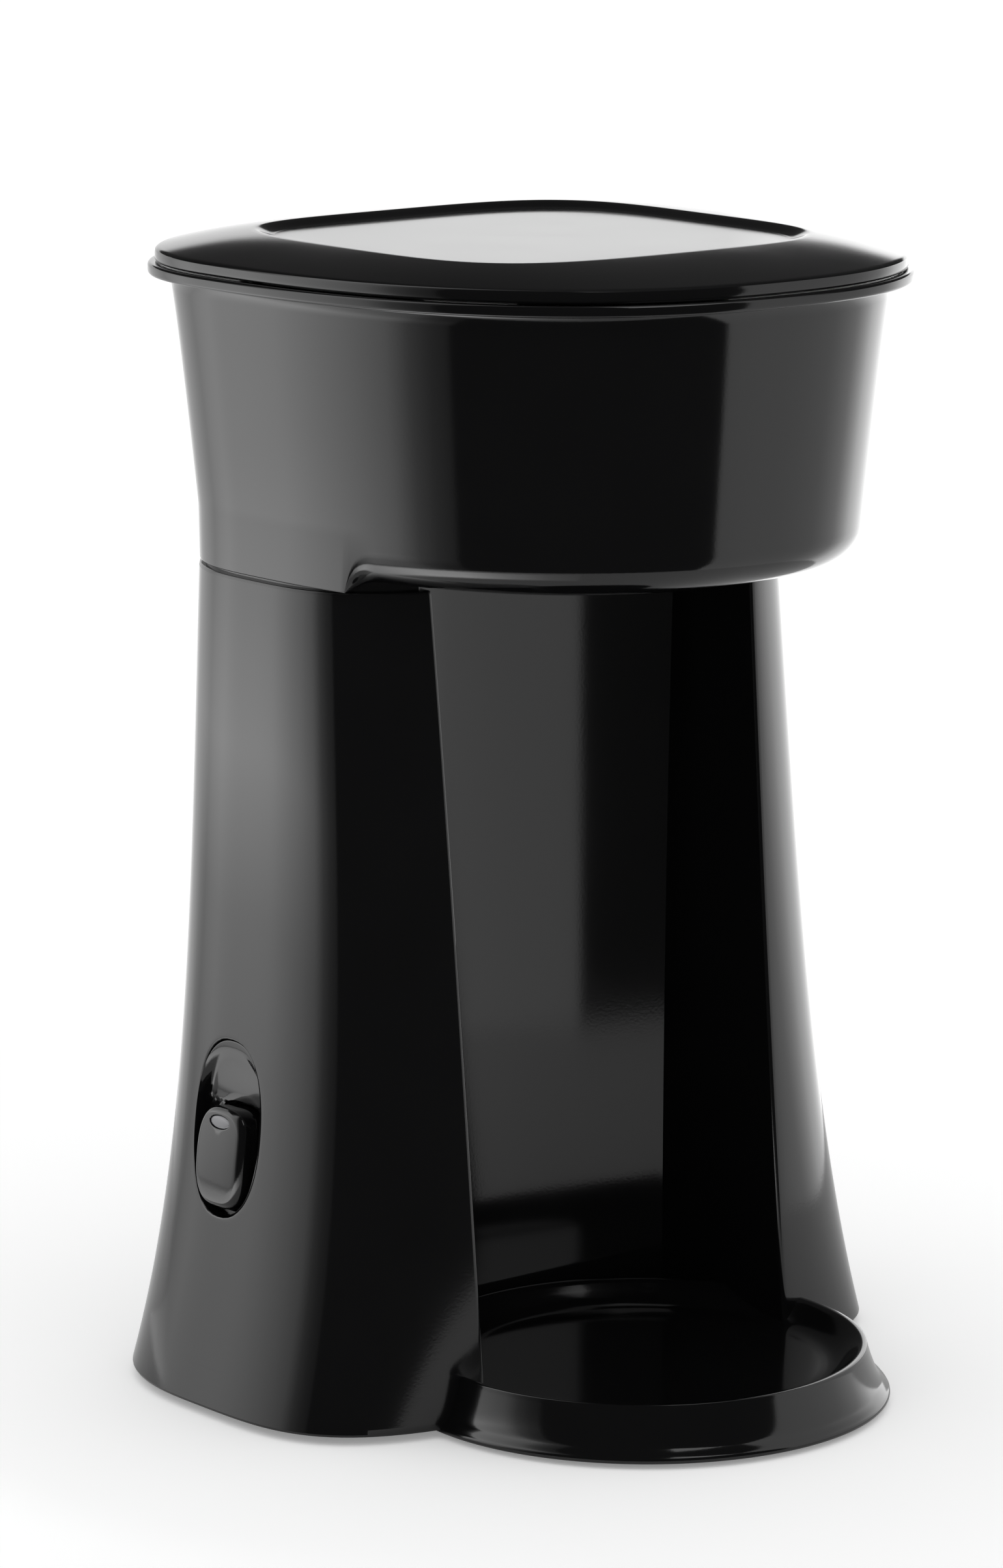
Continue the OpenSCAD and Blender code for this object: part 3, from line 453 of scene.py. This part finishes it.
column_points, column_faces = [], []
outer_rings = [lifted(column_ring(z, 0.0), z) for z in levels]
start = band(column_points, column_faces, outer_rings)
count = len(outer_rings[0])
flank_start = next(i for i, p in enumerate(outer_rings[first_patch])
                   if abs(p[1] - FLANK_FRONT_Y) < 1e-6 and p[0] < 0)
hole = set()
for j in range(first_patch, last_patch):
    for i in range(flank_start, flank_start + FLANK_STEPS):
        hole.add(j * count + i)
column_faces = [face for k, face in enumerate(column_faces) if k not in hole]
rim_path = [(i, first_patch) for i in range(flank_start, flank_start + FLANK_STEPS)]
rim_path += [(flank_start + FLANK_STEPS, j) for j in range(first_patch, last_patch)]
rim_path += [(i, last_patch) for i in range(flank_start + FLANK_STEPS, flank_start, -1)]
rim_path += [(flank_start, j) for j in range(last_patch, first_patch, -1)]
patch_half_y = (FLANK_REAR_Y - FLANK_FRONT_Y) / 2
patch_half_z = (patch_high - patch_low) / 2
rim_index = [start + j * count + i for i, j in rim_path]
rim_angle, rim_place = [], []
for index in rim_index:
    x, y, z = column_points[index]
    down, across = (SWITCH_Z - z) / patch_half_z, (y - SWITCH_Y) / patch_half_y
    rim_angle.append(atan2(across, down))
    rim_place.append((SWITCH_Z - z, y - SWITCH_Y))


def flank_place(down, across, depth=0.0):
    """A point of the left flank at a distance down and to the rear of the switch's middle."""
    z, y = SWITCH_Z - down, SWITCH_Y + across
    return (-flank_x(y, z) + depth * cos(SWITCH_TILT), y, z - depth * sin(SWITCH_TILT))


def hole_ring(grow, depth):
    return [flank_place(*oval_point(a, RECESS_W + 2 * grow, RECESS_H + 2 * grow, RECESS_POWER), depth)
            for a in rim_angle]


previous = rim_index
patch_rings = []
for k in range(1, 8):
    share = k / 8
    ring = []
    for a, place in zip(rim_angle, rim_place):
        edge = oval_point(a, RECESS_W + 1.2, RECESS_H + 1.2, RECESS_POWER)
        ring.append(flank_place(place[0] + (edge[0] - place[0]) * share,
                                place[1] + (edge[1] - place[1]) * share))
    patch_rings.append(ring)
patch_rings += [hole_ring(0.6, 0.0), hole_ring(0.36, 0.03), hole_ring(0.15, 0.12), hole_ring(0.03, 0.28),
                hole_ring(0.0, 0.55), hole_ring(0.0, 2.0), hole_ring(0.0, 8.0), hole_ring(2.5, 8.0)]
size = len(rim_index)
for ring in patch_rings:
    base = len(column_points)
    column_points.extend(ring)
    current = list(range(base, base + size))
    column_faces.extend((previous[i], previous[(i + 1) % size], current[(i + 1) % size], current[i])
                        for i in range(size))
    previous = current

# upper and lower edges, rolled over into the hollow inside
top_rings = [lifted(column_ring(SEAM_Z, inset), z) for inset, z in
             ((0.0, SEAM_Z - 0.7), (0.03, SEAM_Z - 0.35), (0.12, SEAM_Z - 0.12), (0.32, SEAM_Z),
              (1.9, SEAM_Z), (2.2, SEAM_Z - 0.3), (2.2, SEAM_Z - 9))]
band(column_points, column_faces, top_rings)
foot_rings = [lifted(column_ring(FOOT_Z + 0.7, inset), z) for inset, z in
              ((0.0, FOOT_Z + 0.7), (0.08, FOOT_Z + 0.35), (0.25, FOOT_Z + 0.1), (0.55, FOOT_Z),
               (1.9, FOOT_Z), (2.2, FOOT_Z + 0.3), (2.2, FOOT_Z + 9))]
band(column_points, column_faces, foot_rings)
column = make_piece("column", column_points, column_faces, gloss_black, sharp_angle=24.0)
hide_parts("column_shell")


# ---------------------------------------------------------------- head housing
# The brewing head's housing is a second glossy black moulding, a bowl with a flat rim
# flange, screwed down on the column. Its round floor overhangs the cup.

RIM_W, RIM_FRONT, RIM_REAR, RIM_MID, RIM_POWER = 81.9, 108.8, 59.6, 27.0, 2.41
RIM_TOP, RIM_LOW, SOLE_Z, SOLE_ROUND = 264.4, 261.7, 197.2, 8.5
WALL_TOP, WALL_LOW, SKIRT = 4.8, 10.9, 2.0
OUTLET_Y = -23.5
AROUND = 360


def rim_point(angle, inset):
    a = RIM_W - inset
    reach = (RIM_FRONT if sin(angle) < 0 else RIM_REAR) - inset
    r = (abs(cos(angle) / a) ** RIM_POWER + abs(sin(angle) / reach) ** RIM_POWER) ** (-1 / RIM_POWER)
    return (r * cos(angle), RIM_MID + r * sin(angle))


def wall_inset(z):
    share = min(max((RIM_LOW - z) / (RIM_LOW - SOLE_Z - SOLE_ROUND), 0.0), 1.0)
    return WALL_TOP + (WALL_LOW - WALL_TOP) * share ** 0.85


def rim_ring(inset, z):
    return [(*rim_point(2 * pi * i / AROUND, inset), z) for i in range(AROUND)]


def sole_ring(share, grow=0.0):
    """A ring of the rounding under the wall: share 0 is its top, 1 its lower edge. Over the
    column the rounding is small and the wall reaches further down."""
    ring = []
    for i in range(AROUND):
        a = 2 * pi * i / AROUND
        u = min(max((-rim_point(a, 12)[1] - 8) / 7, 0), 1)
        over = sqrt(u * (2 - u))
        r = 0.4 + (SOLE_ROUND - 0.4) * over
        x, y = rim_point(a, WALL_LOW + grow + r * (1 - cos(share * pi / 2)))
        ring.append((x, y, SOLE_Z - SKIRT * (1 - over) + r * (1 - sin(share * pi / 2))))
    return ring


def round_ring(radius, z, centre_y=OUTLET_Y):
    """A round ring whose points run in step with the rim's."""
    ring = []
    for i in range(AROUND):
        x, y = rim_point(2 * pi * i / AROUND, 20)
        a = atan2(y - centre_y, x)
        ring.append((radius * cos(a), centre_y + radius * sin(a), z))
    return ring


def between(first, second, share):
    return [tuple(a + (b - a) * share for a, b in zip(p, q)) for p, q in zip(first, second)]


housing_rings = [round_ring(17.0, SOLE_Z)]
inner_sole = [(x, y, SOLE_Z) for x, y, _ in sole_ring(1.0, 3.0)]
housing_rings += [between(round_ring(17.0, SOLE_Z), inner_sole, s) for s in (0.2, 0.4, 0.6, 0.8, 1.0)]
housing_rings += [sole_ring(1 - k / 10) for k in range(0, 11)]
wall_top = RIM_LOW - 0.9
for k in range(1, 25):
    z = SOLE_Z + SOLE_ROUND + (wall_top - SOLE_Z - SOLE_ROUND) * k / 24
    housing_rings.append(rim_ring(wall_inset(z), z))
flange_rings = [rim_ring(3.65, RIM_LOW), rim_ring(0.75, RIM_LOW), rim_ring(0.3, RIM_LOW + 0.13),
                rim_ring(0.06, RIM_LOW + 0.45), rim_ring(0.0, RIM_LOW + 0.8), rim_ring(0.0, RIM_TOP - 0.8),
                rim_ring(0.06, RIM_TOP - 0.42), rim_ring(0.3, RIM_TOP - 0.12), rim_ring(0.7, RIM_TOP),
                rim_ring(3.2, RIM_TOP), rim_ring(3.4, RIM_TOP - 0.2), rim_ring(3.4, RIM_TOP - 1.4)]
# the flange stops short at the rear, where the lid's knuckle swings
KNUCKLE_SPACE_X, KNUCKLE_SPACE_Y = 19.5, 80.8
flange_rings = [[(x, min(y, KNUCKLE_SPACE_Y) if abs(x) < KNUCKLE_SPACE_X else y, z) for x, y, z in ring]
                for ring in flange_rings]
housing_rings += [rim_ring(WALL_TOP - 0.22, RIM_LOW - 0.35), rim_ring(WALL_TOP - 0.55, RIM_LOW - 0.05)]
housing_rings += flange_rings + [rim_ring(7.0, RIM_TOP - 1.4)]
for k in range(0, 9):
    z = RIM_LOW - (RIM_LOW - 206.0) * k / 8
    housing_rings.append(rim_ring(wall_inset(z) + 2.2, z))
housing_rings += [rim_ring(15.5, SOLE_Z + 4.2), rim_ring(18.5, SOLE_Z + 2.4), round_ring(17.0, SOLE_Z + 2.4)]
housing_points, housing_faces = [], []
band(housing_points, housing_faces, housing_rings, closed=True)
housing = make_piece("head_housing", housing_points, housing_faces, gloss_black,
                     sharp_angle=50.0)
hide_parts("upper_housing")

# neck that stands on the column, set back so that a dark groove shows
neck_points, neck_faces = [], []
neck_rings = [lifted(column_ring(SEAM_Z, inset), z) for inset, z in
              ((1.4, SEAM_Z - 0.2), (1.4, SOLE_Z + 0.4), (4.0, SOLE_Z + 0.4), (4.0, SEAM_Z - 0.2))]
band(neck_points, neck_faces, neck_rings, closed=True)
make_piece("head_neck", neck_points, neck_faces, gloss_black)

# two lugs on the rim that hold the hinge pin
HINGE_Y, HINGE_Z, HINGE_R = 84.0, 264.7, 2.8
LUG_X, LUG_W = 20.0, 6.0


def lug_profile(radius, low, soft=0.0):
    """Side view of a hinge lug: a round head on a straight foot."""
    r = radius - soft
    arc = [(HINGE_Y + r * cos(radians(a)), HINGE_Z + r * sin(radians(a))) for a in range(0, 181, 10)]
    foot = [HINGE_Z - (HINGE_Z - low) * s for s in (0.33, 0.66, 1.0)]
    return ([(HINGE_Y + r, z) for z in reversed(foot)] + arc + [(HINGE_Y - r, z) for z in foot])


lug_points, lug_faces = [], []
for side in (-1, 1):
    middle = side * (LUG_X + LUG_W / 2)
    rings = []
    for x, soft in ((-3.0, 0.5), (-2.85, 0.15), (-2.5, 0.0), (2.5, 0.0), (2.85, 0.15), (3.0, 0.5)):
        rings.append([(middle + x, y, z) for y, z in lug_profile(HINGE_R, RIM_LOW + 0.4, soft)])
    base = band(lug_points, lug_faces, rings)
    ring_size = len(rings[0])
    lug_faces.append(tuple(range(base, base + ring_size)))
    lug_faces.append(tuple(range(base + 5 * ring_size, base + 6 * ring_size)))
make_piece("hinge_lugs", lug_points, lug_faces, gloss_black, sharp_angle=50.0)


# ---------------------------------------------------------------- lid
# The lid is a thin glossy black shell. Its edge rises to a soft crest and falls into a
# shallow dish, and its rear is cut straight where a knuckle takes the hinge pin.

LID_LOW, LID_EDGE = RIM_TOP + 0.3, RIM_TOP + 2.6
LID_BACK, LID_MIDDLE_Y = 75.5, 9.5
CREST_RISE, CREST_W, CREST_POWER = 3.8, 54.4, 4.0
DISH_SLOPE, DISH_DROP = 5.0, 1.5


def lid_ring(share, inset, sink):
    """A ring of the lid's top: share 0 is its edge, 1 the crest, 2 the dish's edge and 3 the middle."""
    if share <= 1:
        rolled_edge = 0.15 * sqrt(min(share / 0.03, 1))
        slope = 1.5 * share - 0.5 * share ** 2
        z = LID_EDGE + CREST_RISE * (rolled_edge + 0.85 * slope)
    else:
        z = LID_EDGE + CREST_RISE - DISH_DROP * eased(share, 1, 2) - 0.1 * max(share - 2, 0)
    ring = []
    for i in range(AROUND):
        x, y = rim_point(2 * pi * i / AROUND, inset)
        reach, a = hypot(x, y - LID_MIDDLE_Y), atan2(y - LID_MIDDLE_Y, x)
        crest = CREST_W * (abs(cos(a)) ** CREST_POWER + abs(sin(a)) ** CREST_POWER) ** (-1 / CREST_POWER)
        if share <= 1:
            r = reach + (crest - reach) * share
        else:
            r = (crest - DISH_SLOPE * min(share - 1, 1)) * min(3 - share, 1)
        ring.append((x * r / reach, LID_MIDDLE_Y + (y - LID_MIDDLE_Y) * r / reach, z - sink))
    return ring


def cut_back(ring, limit):
    return [(x, min(y, limit), z) for x, y, z in ring]


lid_rings = [rim_ring(2.1, LID_LOW), rim_ring(1.75, LID_LOW + 0.1), rim_ring(1.6, LID_LOW + 0.45),
             rim_ring(1.6, LID_LOW + 1.2), rim_ring(1.6, LID_EDGE - 0.5), rim_ring(1.66, LID_EDGE - 0.2)]
shares = [(k / 30) ** 1.6 for k in range(1, 31)] + [1 + k / 14 for k in range(1, 15)]
shares += [2.08, 2.2, 2.35, 2.5, 2.65, 2.8, 2.9, 2.98]
lid_rings += [lid_ring(share, 1.6, 0.0) for share in shares]
lid_rings = [cut_back(ring, LID_BACK) for ring in lid_rings]
lid_points, lid_faces = [], []
base = band(lid_points, lid_faces, lid_rings)
lid_faces.append(tuple(base + (len(lid_rings) - 1) * AROUND + i for i in range(AROUND)))
inner_rings = [rim_ring(2.1, LID_LOW), rim_ring(3.4, LID_LOW), rim_ring(3.6, LID_LOW + 0.3),
               rim_ring(3.6, LID_EDGE - 1.4)]
inner_shares = (0.05, 0.15, 0.3, 0.5, 0.75, 1.0, 1.3, 1.6, 2.0, 2.4, 2.7, 2.98)
inner_rings += [lid_ring(share, 3.6, 2.0) for share in inner_shares]
inner_rings = [cut_back(ring, LID_BACK - (0 if k == 0 else 2.0)) for k, ring in enumerate(inner_rings)]
base = band(lid_points, lid_faces, inner_rings)
lid_faces.append(tuple(base + (len(inner_rings) - 1) * AROUND + i for i in range(AROUND)))
lid = make_piece("lid_shell", lid_points, lid_faces, gloss_black, body="lid", sharp_angle=42.0)
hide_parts("lid")

# knuckle between the lugs, on a short web from the lid's rear edge
knuckle_points, knuckle_faces = [], []
half_knuckle = LUG_X - 0.4
knuckle_rings = []
for x, soft in ((-half_knuckle, 0.5), (-half_knuckle + 0.15, 0.15), (-half_knuckle + 0.5, 0.0),
                (half_knuckle - 0.5, 0.0), (half_knuckle - 0.15, 0.15), (half_knuckle, 0.5)):
    r = HINGE_R - soft
    outline = [(HINGE_Y + r * cos(radians(a)), HINGE_Z + r * sin(radians(a))) for a in range(-180, 131, 10)]
    outline += [(LID_BACK - 0.6, HINGE_Z + 2.0 - soft), (LID_BACK - 0.6, HINGE_Z + soft)]
    knuckle_rings.append([(x, y, z) for y, z in outline])
base = band(knuckle_points, knuckle_faces, knuckle_rings)
ring_size = len(knuckle_rings[0])
knuckle_faces.append(tuple(range(base, base + ring_size)))
knuckle_faces.append(tuple(range(base + 5 * ring_size, base + 6 * ring_size)))
make_piece("lid_knuckle", knuckle_points, knuckle_faces, gloss_black, body="lid",
           sharp_angle=50.0)


# ---------------------------------------------------------------- cup stand
# A round stand of the same glossy plastic, with a sharp rim, a shallow dish for drips and
# a flared wall that ends in a thin lip over the table.

def turned(profile, centre_y, steps=192):
    """Rings of a profile of (radius, height) turned about an upright axis."""
    return [[(r * cos(2 * pi * i / steps), centre_y + r * sin(2 * pi * i / steps), z) for i in range(steps)]
            for r, z in profile]


STAND_TOP, STAND_R, STAND_FOOT = 13.6, 52.7, 58.2
wall_profile = []
for k in range(13):
    s = k / 12
    wall_profile.append((STAND_FOOT - 0.9 - (STAND_FOOT - STAND_R - 0.9) * s ** 0.6,
                         3.4 + (STAND_TOP - 0.5 - 3.4) * s))
stand_profile = [(55.2, 1.2), (57.5, 1.2), (57.9, 1.3), (58.15, 1.6), (58.2, 1.9), (58.15, 2.3),
                 (57.9, 2.65), (57.5, 2.95)]
stand_profile += wall_profile
stand_profile += [(52.68, 13.35), (52.6, 13.5), (52.45, 13.58), (52.2, 13.6), (51.7, 13.58), (51.3, 13.48),
                  (50.4, 12.7), (49.2, 11.5), (47.9, 10.3), (46.9, 9.5), (45.8, 8.85), (44.6, 8.46),
                  (43.3, 8.25),
                  (41.5, 8.2), (30.0, 8.2), (20.0, 8.2), (10.0, 8.2), (1.0, 8.2)]
stand_points, stand_faces = [], []
stand_rings = turned(stand_profile, CUP_Y)
base = band(stand_points, stand_faces, stand_rings)
stand_faces.append(tuple(base + (len(stand_rings) - 1) * 192 + i for i in range(192)))
under_rings = turned([(55.2, 1.2), (55.2, 3.3), (50.0, 10.8), (44.6, 6.4), (1.0, 6.4)], CUP_Y)
base = band(stand_points, stand_faces, under_rings)
stand_faces.append(tuple(base + 4 * 192 + i for i in range(192)))
stand = make_piece("stand", stand_points, stand_faces, gloss_black, sharp_angle=50.0)
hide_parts("cup_stand")


# ---------------------------------------------------------------- outlet nozzle
# A round glossy nozzle clips into the floor of the head and gathers the coffee over the cup.

nozzle_low = SOLE_Z - 1.6
nozzle_profile = [(4.0, nozzle_low + 0.6), (4.2, nozzle_low + 0.25), (4.6, nozzle_low), (12.0, nozzle_low),
                  (18.2, nozzle_low), (18.8, nozzle_low + 0.08), (19.2, nozzle_low + 0.3),
                  (19.42, nozzle_low + 0.55),
                  (19.5, nozzle_low + 0.9), (19.5, SOLE_Z), (16.4, SOLE_Z), (16.4, SOLE_Z + 2.4),
                  (14.5, SOLE_Z + 2.4), (14.1, SOLE_Z + 1.0), (4.0, SOLE_Z + 0.4)]
nozzle_points, nozzle_faces = [], []
band(nozzle_points, nozzle_faces, turned(nozzle_profile, OUTLET_Y, 128), closed=True)
nozzle = make_piece("nozzle", nozzle_points, nozzle_faces, gloss_black, sharp_angle=50.0)
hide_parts("outlet_nozzle")


# ---------------------------------------------------------------- switch
# An oval insert in the left flank has a finger scoop above a tall rounded paddle, which
# rocks on two stub pins. A small lens near the paddle's top shows when the machine is on.

WELL_GAP = 0.9
PADDLE_W, PADDLE_H, PADDLE_X, PADDLE_POWER = 17.4, 23.8, 6.9, 3.2
switch_steps = 96
switch_angles = [2 * pi * k / switch_steps for k in range(switch_steps)]


def scoop_depth(x, y):
    """Depth of the insert's surface: a scoop that deepens towards the paddle, and a sunk floor."""
    half = RECESS_H / 2
    run = (x + half) / (half + PADDLE_X - PADDLE_H / 2)
    across = min(abs(y) / (RECESS_W / 2), 1.0)
    if run < 1:
        return -0.25 - 4.0 * eased(run, -0.12, 1.05) * (1 - 0.25 * across ** 2)
    return -4.25 + 0.75 * eased(run, 1.0, 1.25)


insert_rings = []
for grow, depth in ((-0.12, -8.0), (-0.12, -0.8), (-0.2, -0.45), (-0.4, -0.28)):
    width, height = RECESS_W + 2 * grow, RECESS_H + 2 * grow
    insert_rings.append([at_switch(*oval_point(a, width, height, RECESS_POWER), depth) for a in switch_angles])
edge_line = [oval_point(a, RECESS_W - 1.2, RECESS_H - 1.2, RECESS_POWER) for a in switch_angles]
well_line = []
for a, edge in zip(switch_angles, edge_line):
    b = atan2(edge[1], edge[0] - PADDLE_X)
    x, y = oval_point(b, PADDLE_W + 2 * WELL_GAP, PADDLE_H + 2 * WELL_GAP, PADDLE_POWER)
    well_line.append((PADDLE_X + x, y))
for k in range(0, 15):
    s = k / 14
    ring = []
    for edge, well in zip(edge_line, well_line):
        x, y = edge[0] + (well[0] - edge[0]) * s, edge[1] + (well[1] - edge[1]) * s
        lip = 1 - eased(s, 0.0, 0.22)
        depth = scoop_depth(x, y) * (1 - lip) + min(-0.3, scoop_depth(x, y) * 0.25) * lip
        ring.append(at_switch(x, y, depth - (0.25 if k == 14 else 0)))
    insert_rings.append(ring)
insert_rings.append([at_switch(x, y, -7.9) for x, y in well_line])
insert_points, insert_faces = [], []
band(insert_points, insert_faces, insert_rings, closed=True)
insert = make_piece("switch_insert", insert_points, insert_faces, gloss_black,
                    sharp_angle=50.0)
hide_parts("switch_bezel")

LENS_X = -1.5
LENS_W, LENS_H = 7.4, 2.9
FACE_PROUD, FACE_BOW = 2.6, 70.0


def paddle_face(x, y):
    """Height of the paddle's bowed face."""
    return FACE_PROUD - (x - PADDLE_X) ** 2 / (2 * FACE_BOW) - y ** 2 / (2 * 60.0)


paddle_rings = []


def paddle_ring(grow, depth, ride_face):
    ring = []
    for a in switch_angles:
        x, y = oval_point(a, PADDLE_W + 2 * grow, PADDLE_H + 2 * grow, PADDLE_POWER)
        x += PADDLE_X
        ring.append(at_switch(x, y, depth + (paddle_face(x, y) if ride_face else 0)))
    return ring


paddle_rings += [paddle_ring(-0.6, -7.6, False), paddle_ring(-0.1, -7.2, False),
                 paddle_ring(0.0, -6.5, False),
                 paddle_ring(0.0, -3.0, False)]
for k in range(0, 9):
    a = pi / 2 * k / 8
    paddle_rings.append(paddle_ring(-1.5 * (1 - cos(a)), -1.5 * (1 - sin(a)) - 0.35 * (1 - k / 8), True))
face_rim = [oval_point(a, PADDLE_W - 3.0, PADDLE_H - 3.0, PADDLE_POWER) for a in switch_angles]
lens_line = []
for x, y in face_rim:
    b = atan2(y / 3.0, (x + PADDLE_X - LENS_X) / 1.6)
    lens_line.append(b)
for k in range(1, 11):
    s = k / 10
    ring = []
    for (fx, fy), b in zip(face_rim, lens_line):
        lx, ly = oval_point(b, LENS_W + 0.5, LENS_H + 0.5, 2.0)
        x = (fx + PADDLE_X) * (1 - s) + (LENS_X + lx) * s
        y = fy * (1 - s) + ly * s
        ring.append(at_switch(x, y, paddle_face(x, y)))
    paddle_rings.append(ring)
for grow, drop in ((-0.06, -0.05), (-0.1, -0.16), (-0.1, -2.3)):
    ring = []
    for b in lens_line:
        lx, ly = oval_point(b, LENS_W + 0.5 + 2 * grow, LENS_H + 0.5 + 2 * grow, 2.0)
        ring.append(at_switch(LENS_X + lx, ly, paddle_face(LENS_X + lx, ly) + drop))
    paddle_rings.append(ring)
paddle_points, paddle_faces = [], []
base = band(paddle_points, paddle_faces, paddle_rings)
paddle_faces.append(tuple(base + i for i in range(switch_steps)))
paddle_faces.append(tuple(base + (len(paddle_rings) - 1) * switch_steps + i for i in range(switch_steps)))
paddle = make_piece("paddle_cap", paddle_points, paddle_faces, gloss_black, body="paddle",
                    sharp_angle=50.0)
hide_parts("switch_paddle")

lens_plastic = moulded_plastic("lens_grey", (0.16, 0.16, 0.17), 0.12, 0.08, 900.0, 0.05)
lens_points, lens_faces = [], []
lens_rings = []
for share, drop in ((1.0, -1.6), (1.0, -0.28), (0.95, -0.16), (0.85, -0.08), (0.65, -0.02),
                    (0.4, 0.02), (0.1, 0.04)):
    ring = []
    for a in switch_angles:
        x, y = oval_point(a, LENS_W * share, LENS_H * share, 2.0)
        ring.append(at_switch(LENS_X + x, y, paddle_face(LENS_X + x, y) + drop - 0.08))
    lens_rings.append(ring)
base = band(lens_points, lens_faces, lens_rings)
lens_faces.append(tuple(base + i for i in range(switch_steps)))
lens_faces.append(tuple(base + (len(lens_rings) - 1) * switch_steps + i for i in range(switch_steps)))
lens = make_piece("lens", lens_points, lens_faces, lens_plastic, body="paddle", sharp_angle=50.0)
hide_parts("indicator_lens")


# ---------------------------------------------------------------- parts kept as they are made
# Satin plastics, rubber, sheet steel and cast aluminium of the parts inside and below.

satin_black = moulded_plastic("satin_black", (0.018, 0.018, 0.019), 0.38, 0.12, 1400.0, 0.25)
base_black = moulded_plastic("base_black", (0.014, 0.014, 0.014), 0.55, 0.15, 700.0, 0.6)
foot_rubber = moulded_plastic("foot_rubber", (0.02, 0.02, 0.021), 0.78, 0.1, 2200.0, 0.7)
hose_rubber = moulded_plastic("hose_rubber", (0.72, 0.71, 0.67), 0.45, 0.15, 600.0, 0.15)
ivory_plastic = moulded_plastic("ivory_plastic", (0.66, 0.62, 0.5), 0.35, 0.12, 900.0, 0.2)
wire_sleeve = moulded_plastic("wire_sleeve", (0.74, 0.74, 0.72), 0.5, 0.15, 2500.0, 0.4)
lamp_glow = moulded_plastic("lamp_amber", (0.7, 0.26, 0.05), 0.1, 0.05, 500.0, 0.02)


def brushed_metal(name, tone, roughness, stretch, depth):
    """Metal with fine lines from rolling or turning, drawn out along one direction."""
    material = bpy.data.materials.new(name)
    nodes, links = nodes_of(material)
    skin = nodes.new("ShaderNodeBsdfPrincipled")
    skin.inputs["Metallic"].default_value = 1.0
    place = nodes.new("ShaderNodeTexCoord")
    drawn = nodes.new("ShaderNodeMapping")
    drawn.inputs["Scale"].default_value = stretch
    links.new(place.outputs["Object"], drawn.inputs["Vector"])
    lines = nodes.new("ShaderNodeTexNoise")
    lines.inputs["Scale"].default_value = 400.0
    lines.inputs["Detail"].default_value = 4.0
    links.new(drawn.outputs[0], lines.inputs["Vector"])
    colours = nodes.new("ShaderNodeValToRGB")
    colours.color_ramp.elements[0].position = 0.3
    colours.color_ramp.elements[0].color = (*[c * 0.7 for c in tone], 1.0)
    colours.color_ramp.elements[1].position = 0.7
    colours.color_ramp.elements[1].color = (*tone, 1.0)
    links.new(lines.outputs["Fac"], colours.inputs[0])
    links.new(colours.outputs[0], skin.inputs["Base Color"])
    haze = nodes.new("ShaderNodeMath")
    haze.operation = "MULTIPLY_ADD"
    haze.inputs[1].default_value = 0.18
    haze.inputs[2].default_value = roughness
    links.new(lines.outputs["Fac"], haze.inputs[0])
    links.new(haze.outputs[0], skin.inputs["Roughness"])
    bump = nodes.new("ShaderNodeBump")
    bump.inputs["Strength"].default_value = depth
    bump.inputs["Distance"].default_value = 0.0001
    links.new(lines.outputs["Fac"], bump.inputs["Height"])
    links.new(bump.outputs[0], skin.inputs["Normal"])
    out = nodes.new("ShaderNodeOutputMaterial")
    links.new(skin.outputs[0], out.inputs["Surface"])
    return material


bright_steel = brushed_metal("bright_steel", (0.72, 0.72, 0.73), 0.2, (1.0, 6.0, 1.0), 0.2)
zinc_plate = brushed_metal("zinc_plate", (0.62, 0.63, 0.66), 0.32, (1.0, 1.0, 4.0), 0.3)
cast_metal = brushed_metal("cast_metal", (0.6, 0.6, 0.61), 0.45, (1.0, 1.0, 1.0), 0.8)
dark_sheath = brushed_metal("dark_sheath", (0.16, 0.16, 0.16), 0.5, (1.0, 1.0, 2.0), 0.5)

finishes = {
    "water_tub": satin_black, "lid_liner": satin_black, "filter_basket": satin_black,
    "filter_handle": satin_black, "shower_arm": satin_black, "base_plate": base_black,
    "switch_module": base_black, "rubber_feet": foot_rubber, "cord_gland": foot_rubber,
    "hinge_pin": bright_steel, "mesh_filter": bright_steel, "inlet_strainer": bright_steel,
    "base_screws": zinc_plate, "head_screws": zinc_plate, "element_terminals": zinc_plate,
    "heater_bracket": zinc_plate, "bracket_screws": zinc_plate, "thermostat": zinc_plate,
    "hose_clamps": zinc_plate, "heater_casting": cast_metal, "heating_element": dark_sheath,
    "inlet_hose": hose_rubber, "riser_hose": hose_rubber, "check_valve": hose_rubber,
    "terminal_block": ivory_plastic, "thermal_fuse": wire_sleeve, "wiring": wire_sleeve,
    "indicator_lamp": lamp_glow,
}
for name, material in finishes.items():
    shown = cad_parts[name]
    shown.data.materials.clear()
    shown.data.materials.append(material)
